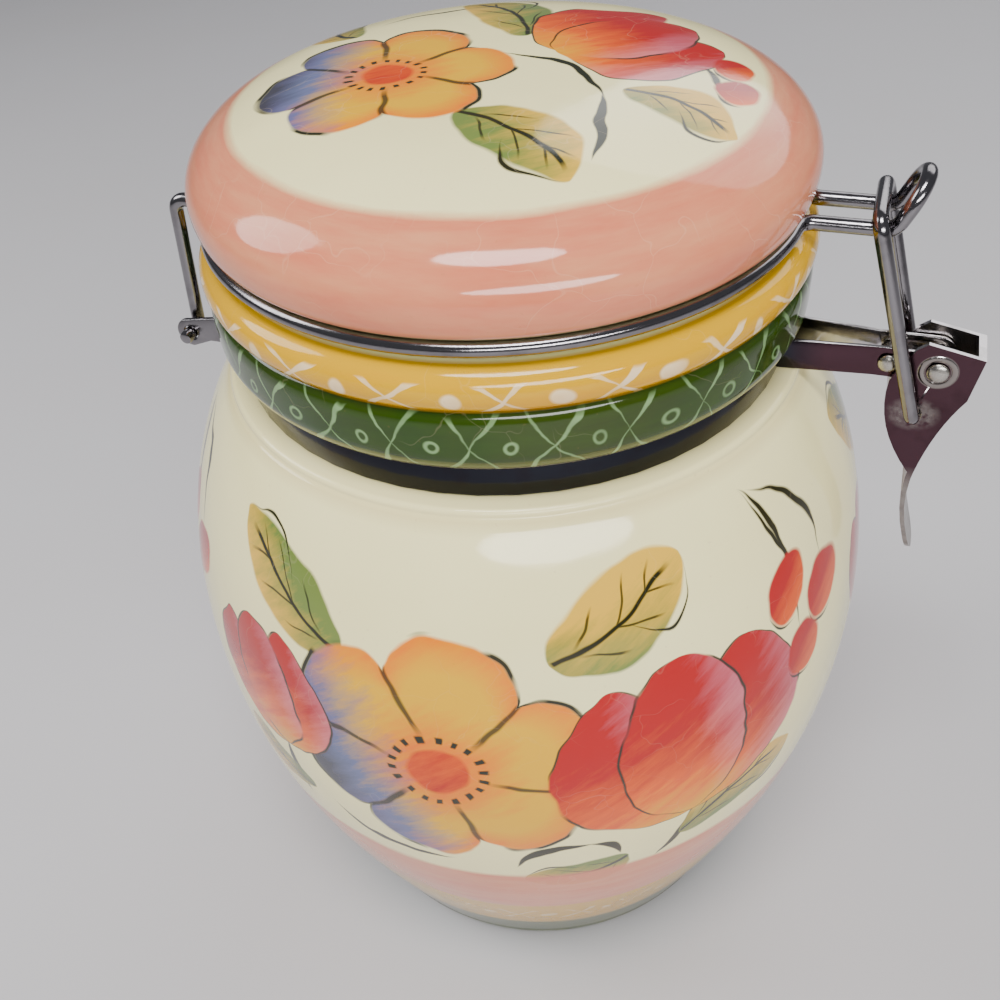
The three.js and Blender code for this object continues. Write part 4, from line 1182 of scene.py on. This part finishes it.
class CANISTER_OT_rivets(bpy.types.Operator):
    """Build the pivot rivet and the tie rivet"""

    bl_idname = "canister.rivets"
    bl_label = "Rivets"

    def execute(self, context):
        s = context.scene.canister_sizes
        material = rivet_finish(context.scene.canister_colours)
        rivets = (
            ("pivot_rivet_domed", "pivot_rivet", s.pivot_shank),
            ("tie_rivet_domed", "tie_rivet", s.tie_shank),
        )
        for name, node, shank in rivets:
            low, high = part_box(node)
            half = (high.y - low.y) / 2 - s.rivet_head
            head_r = (high.x - low.x) / 2
            upper = [(shank / 2, half), *arc(0, half, head_r, s.rivet_head, 0, 90, RIVET_STEPS)]
            upper[-1] = (0, upper[-1][1])
            profile = [(r, -z) for r, z in reversed(upper)] + upper
            bm = turned(distinct(profile), RIVET_SEGMENTS)
            bm.transform(Matrix.Translation((low + high) / 2) @ Matrix.Rotation(math.pi / 2, 4, "X"))
            mesh_object(name, bm, material, "jar", "rivet_steel", node)
        return {"FINISHED"}


def add_softbox(name, at, to, width, height, power):
    """A soft light with a rounded look, aimed at a point."""
    light = bpy.data.lights.new(name, "AREA")
    light.shape = "ELLIPSE"
    light.size, light.size_y = width, height
    light.energy = power
    lamp = bpy.data.objects.new(name, light)
    lamp.location = at
    lamp.rotation_euler = (Vector(to) - Vector(at)).to_track_quat("-Z", "Y").to_euler()
    bpy.context.scene.collection.objects.link(lamp)


class CANISTER_OT_stage(bpy.types.Operator):
    """Build the floor, the lights and the camera"""

    bl_idname = "canister.stage"
    bl_label = "Stage"

    def execute(self, context):
        scene = context.scene
        bm = bmesh.new()
        bmesh.ops.create_grid(bm, x_segments=8, y_segments=8, size=FLOOR_HALF)
        mesh = bpy.data.meshes.new("floor")
        bm.to_mesh(mesh)
        bm.free()
        f = Finish("floor_plain")
        place, _ = f.places()
        soft = f.noise(place, 0.01, 2.0)
        f.colour(f.mix(soft * 0.08, scene.canister_colours.floor, scene.canister_colours.brown_tint))
        f.rough(soft * 0.1 + 0.5)
        mesh.materials.append(f.material)
        floor = bpy.data.objects.new("floor", mesh)
        scene.collection.objects.link(floor)
        for softbox in SOFTBOXES:
            add_softbox(*softbox)
        world = bpy.data.worlds.new("studio")
        world.use_nodes = True
        world.node_tree.nodes["Background"].inputs["Color"].default_value = STUDIO_GREY
        world.node_tree.nodes["Background"].inputs["Strength"].default_value = 1.0
        scene.world = world
        camera = bpy.data.objects.new("camera", bpy.data.cameras.new("camera"))
        camera.data.sensor_width = CAMERA_SENSOR
        camera.data.lens = CAMERA_LENS
        camera.data.clip_start = CAMERA_NEAR
        right = CAMERA_FORWARD.cross(CAMERA_UP).normalized()
        up = right.cross(CAMERA_FORWARD).normalized()
        axes = Matrix((right, up, -CAMERA_FORWARD.normalized())).transposed()
        camera.matrix_world = Matrix.Translation(CAMERA_AT) @ axes.to_4x4()
        scene.collection.objects.link(camera)
        scene.camera = camera
        return {"FINISHED"}


class CANISTER_PT_sidebar(bpy.types.Panel):
    """Lists the pieces of the canister and what can be changed"""

    bl_idname = "CANISTER_PT_sidebar"
    bl_label = "Canister"
    bl_space_type = "VIEW_3D"
    bl_region_type = "UI"
    bl_category = "Canister"

    def draw(self, context):
        for operator in OPERATORS:
            self.layout.operator(operator.bl_idname)
        for group in (context.scene.canister_sizes, context.scene.canister_colours):
            for name in group.bl_rna.properties.keys():
                if name not in ("rna_type", "name"):
                    self.layout.prop(group, name)


OPERATORS = (
    CANISTER_OT_stage, CANISTER_OT_jar, CANISTER_OT_lid, CANISTER_OT_seal, CANISTER_OT_wires,
    CANISTER_OT_neck_steel, CANISTER_OT_lever, CANISTER_OT_rivets,
)
CLASSES = (CanisterSizes, CanisterColours, *OPERATORS, CANISTER_PT_sidebar)


def register():
    """Adds the classes and the scene's settings."""
    for cls in CLASSES:
        bpy.utils.register_class(cls)
    bpy.types.Scene.canister_sizes = bpy.props.PointerProperty(type=CanisterSizes)
    bpy.types.Scene.canister_colours = bpy.props.PointerProperty(type=CanisterColours)


def unregister():
    """Takes the settings and the classes away again."""
    del bpy.types.Scene.canister_colours
    del bpy.types.Scene.canister_sizes
    for cls in reversed(CLASSES):
        bpy.utils.unregister_class(cls)


def main():
    """Builds the stage and every piece."""
    register()
    bpy.ops.canister.stage()
    bpy.ops.canister.jar()
    bpy.ops.canister.lid()
    bpy.ops.canister.seal()
    bpy.ops.canister.wires()
    bpy.ops.canister.neck_steel()
    bpy.ops.canister.lever()
    bpy.ops.canister.rivets()


if __name__ == "__main__":
    main()
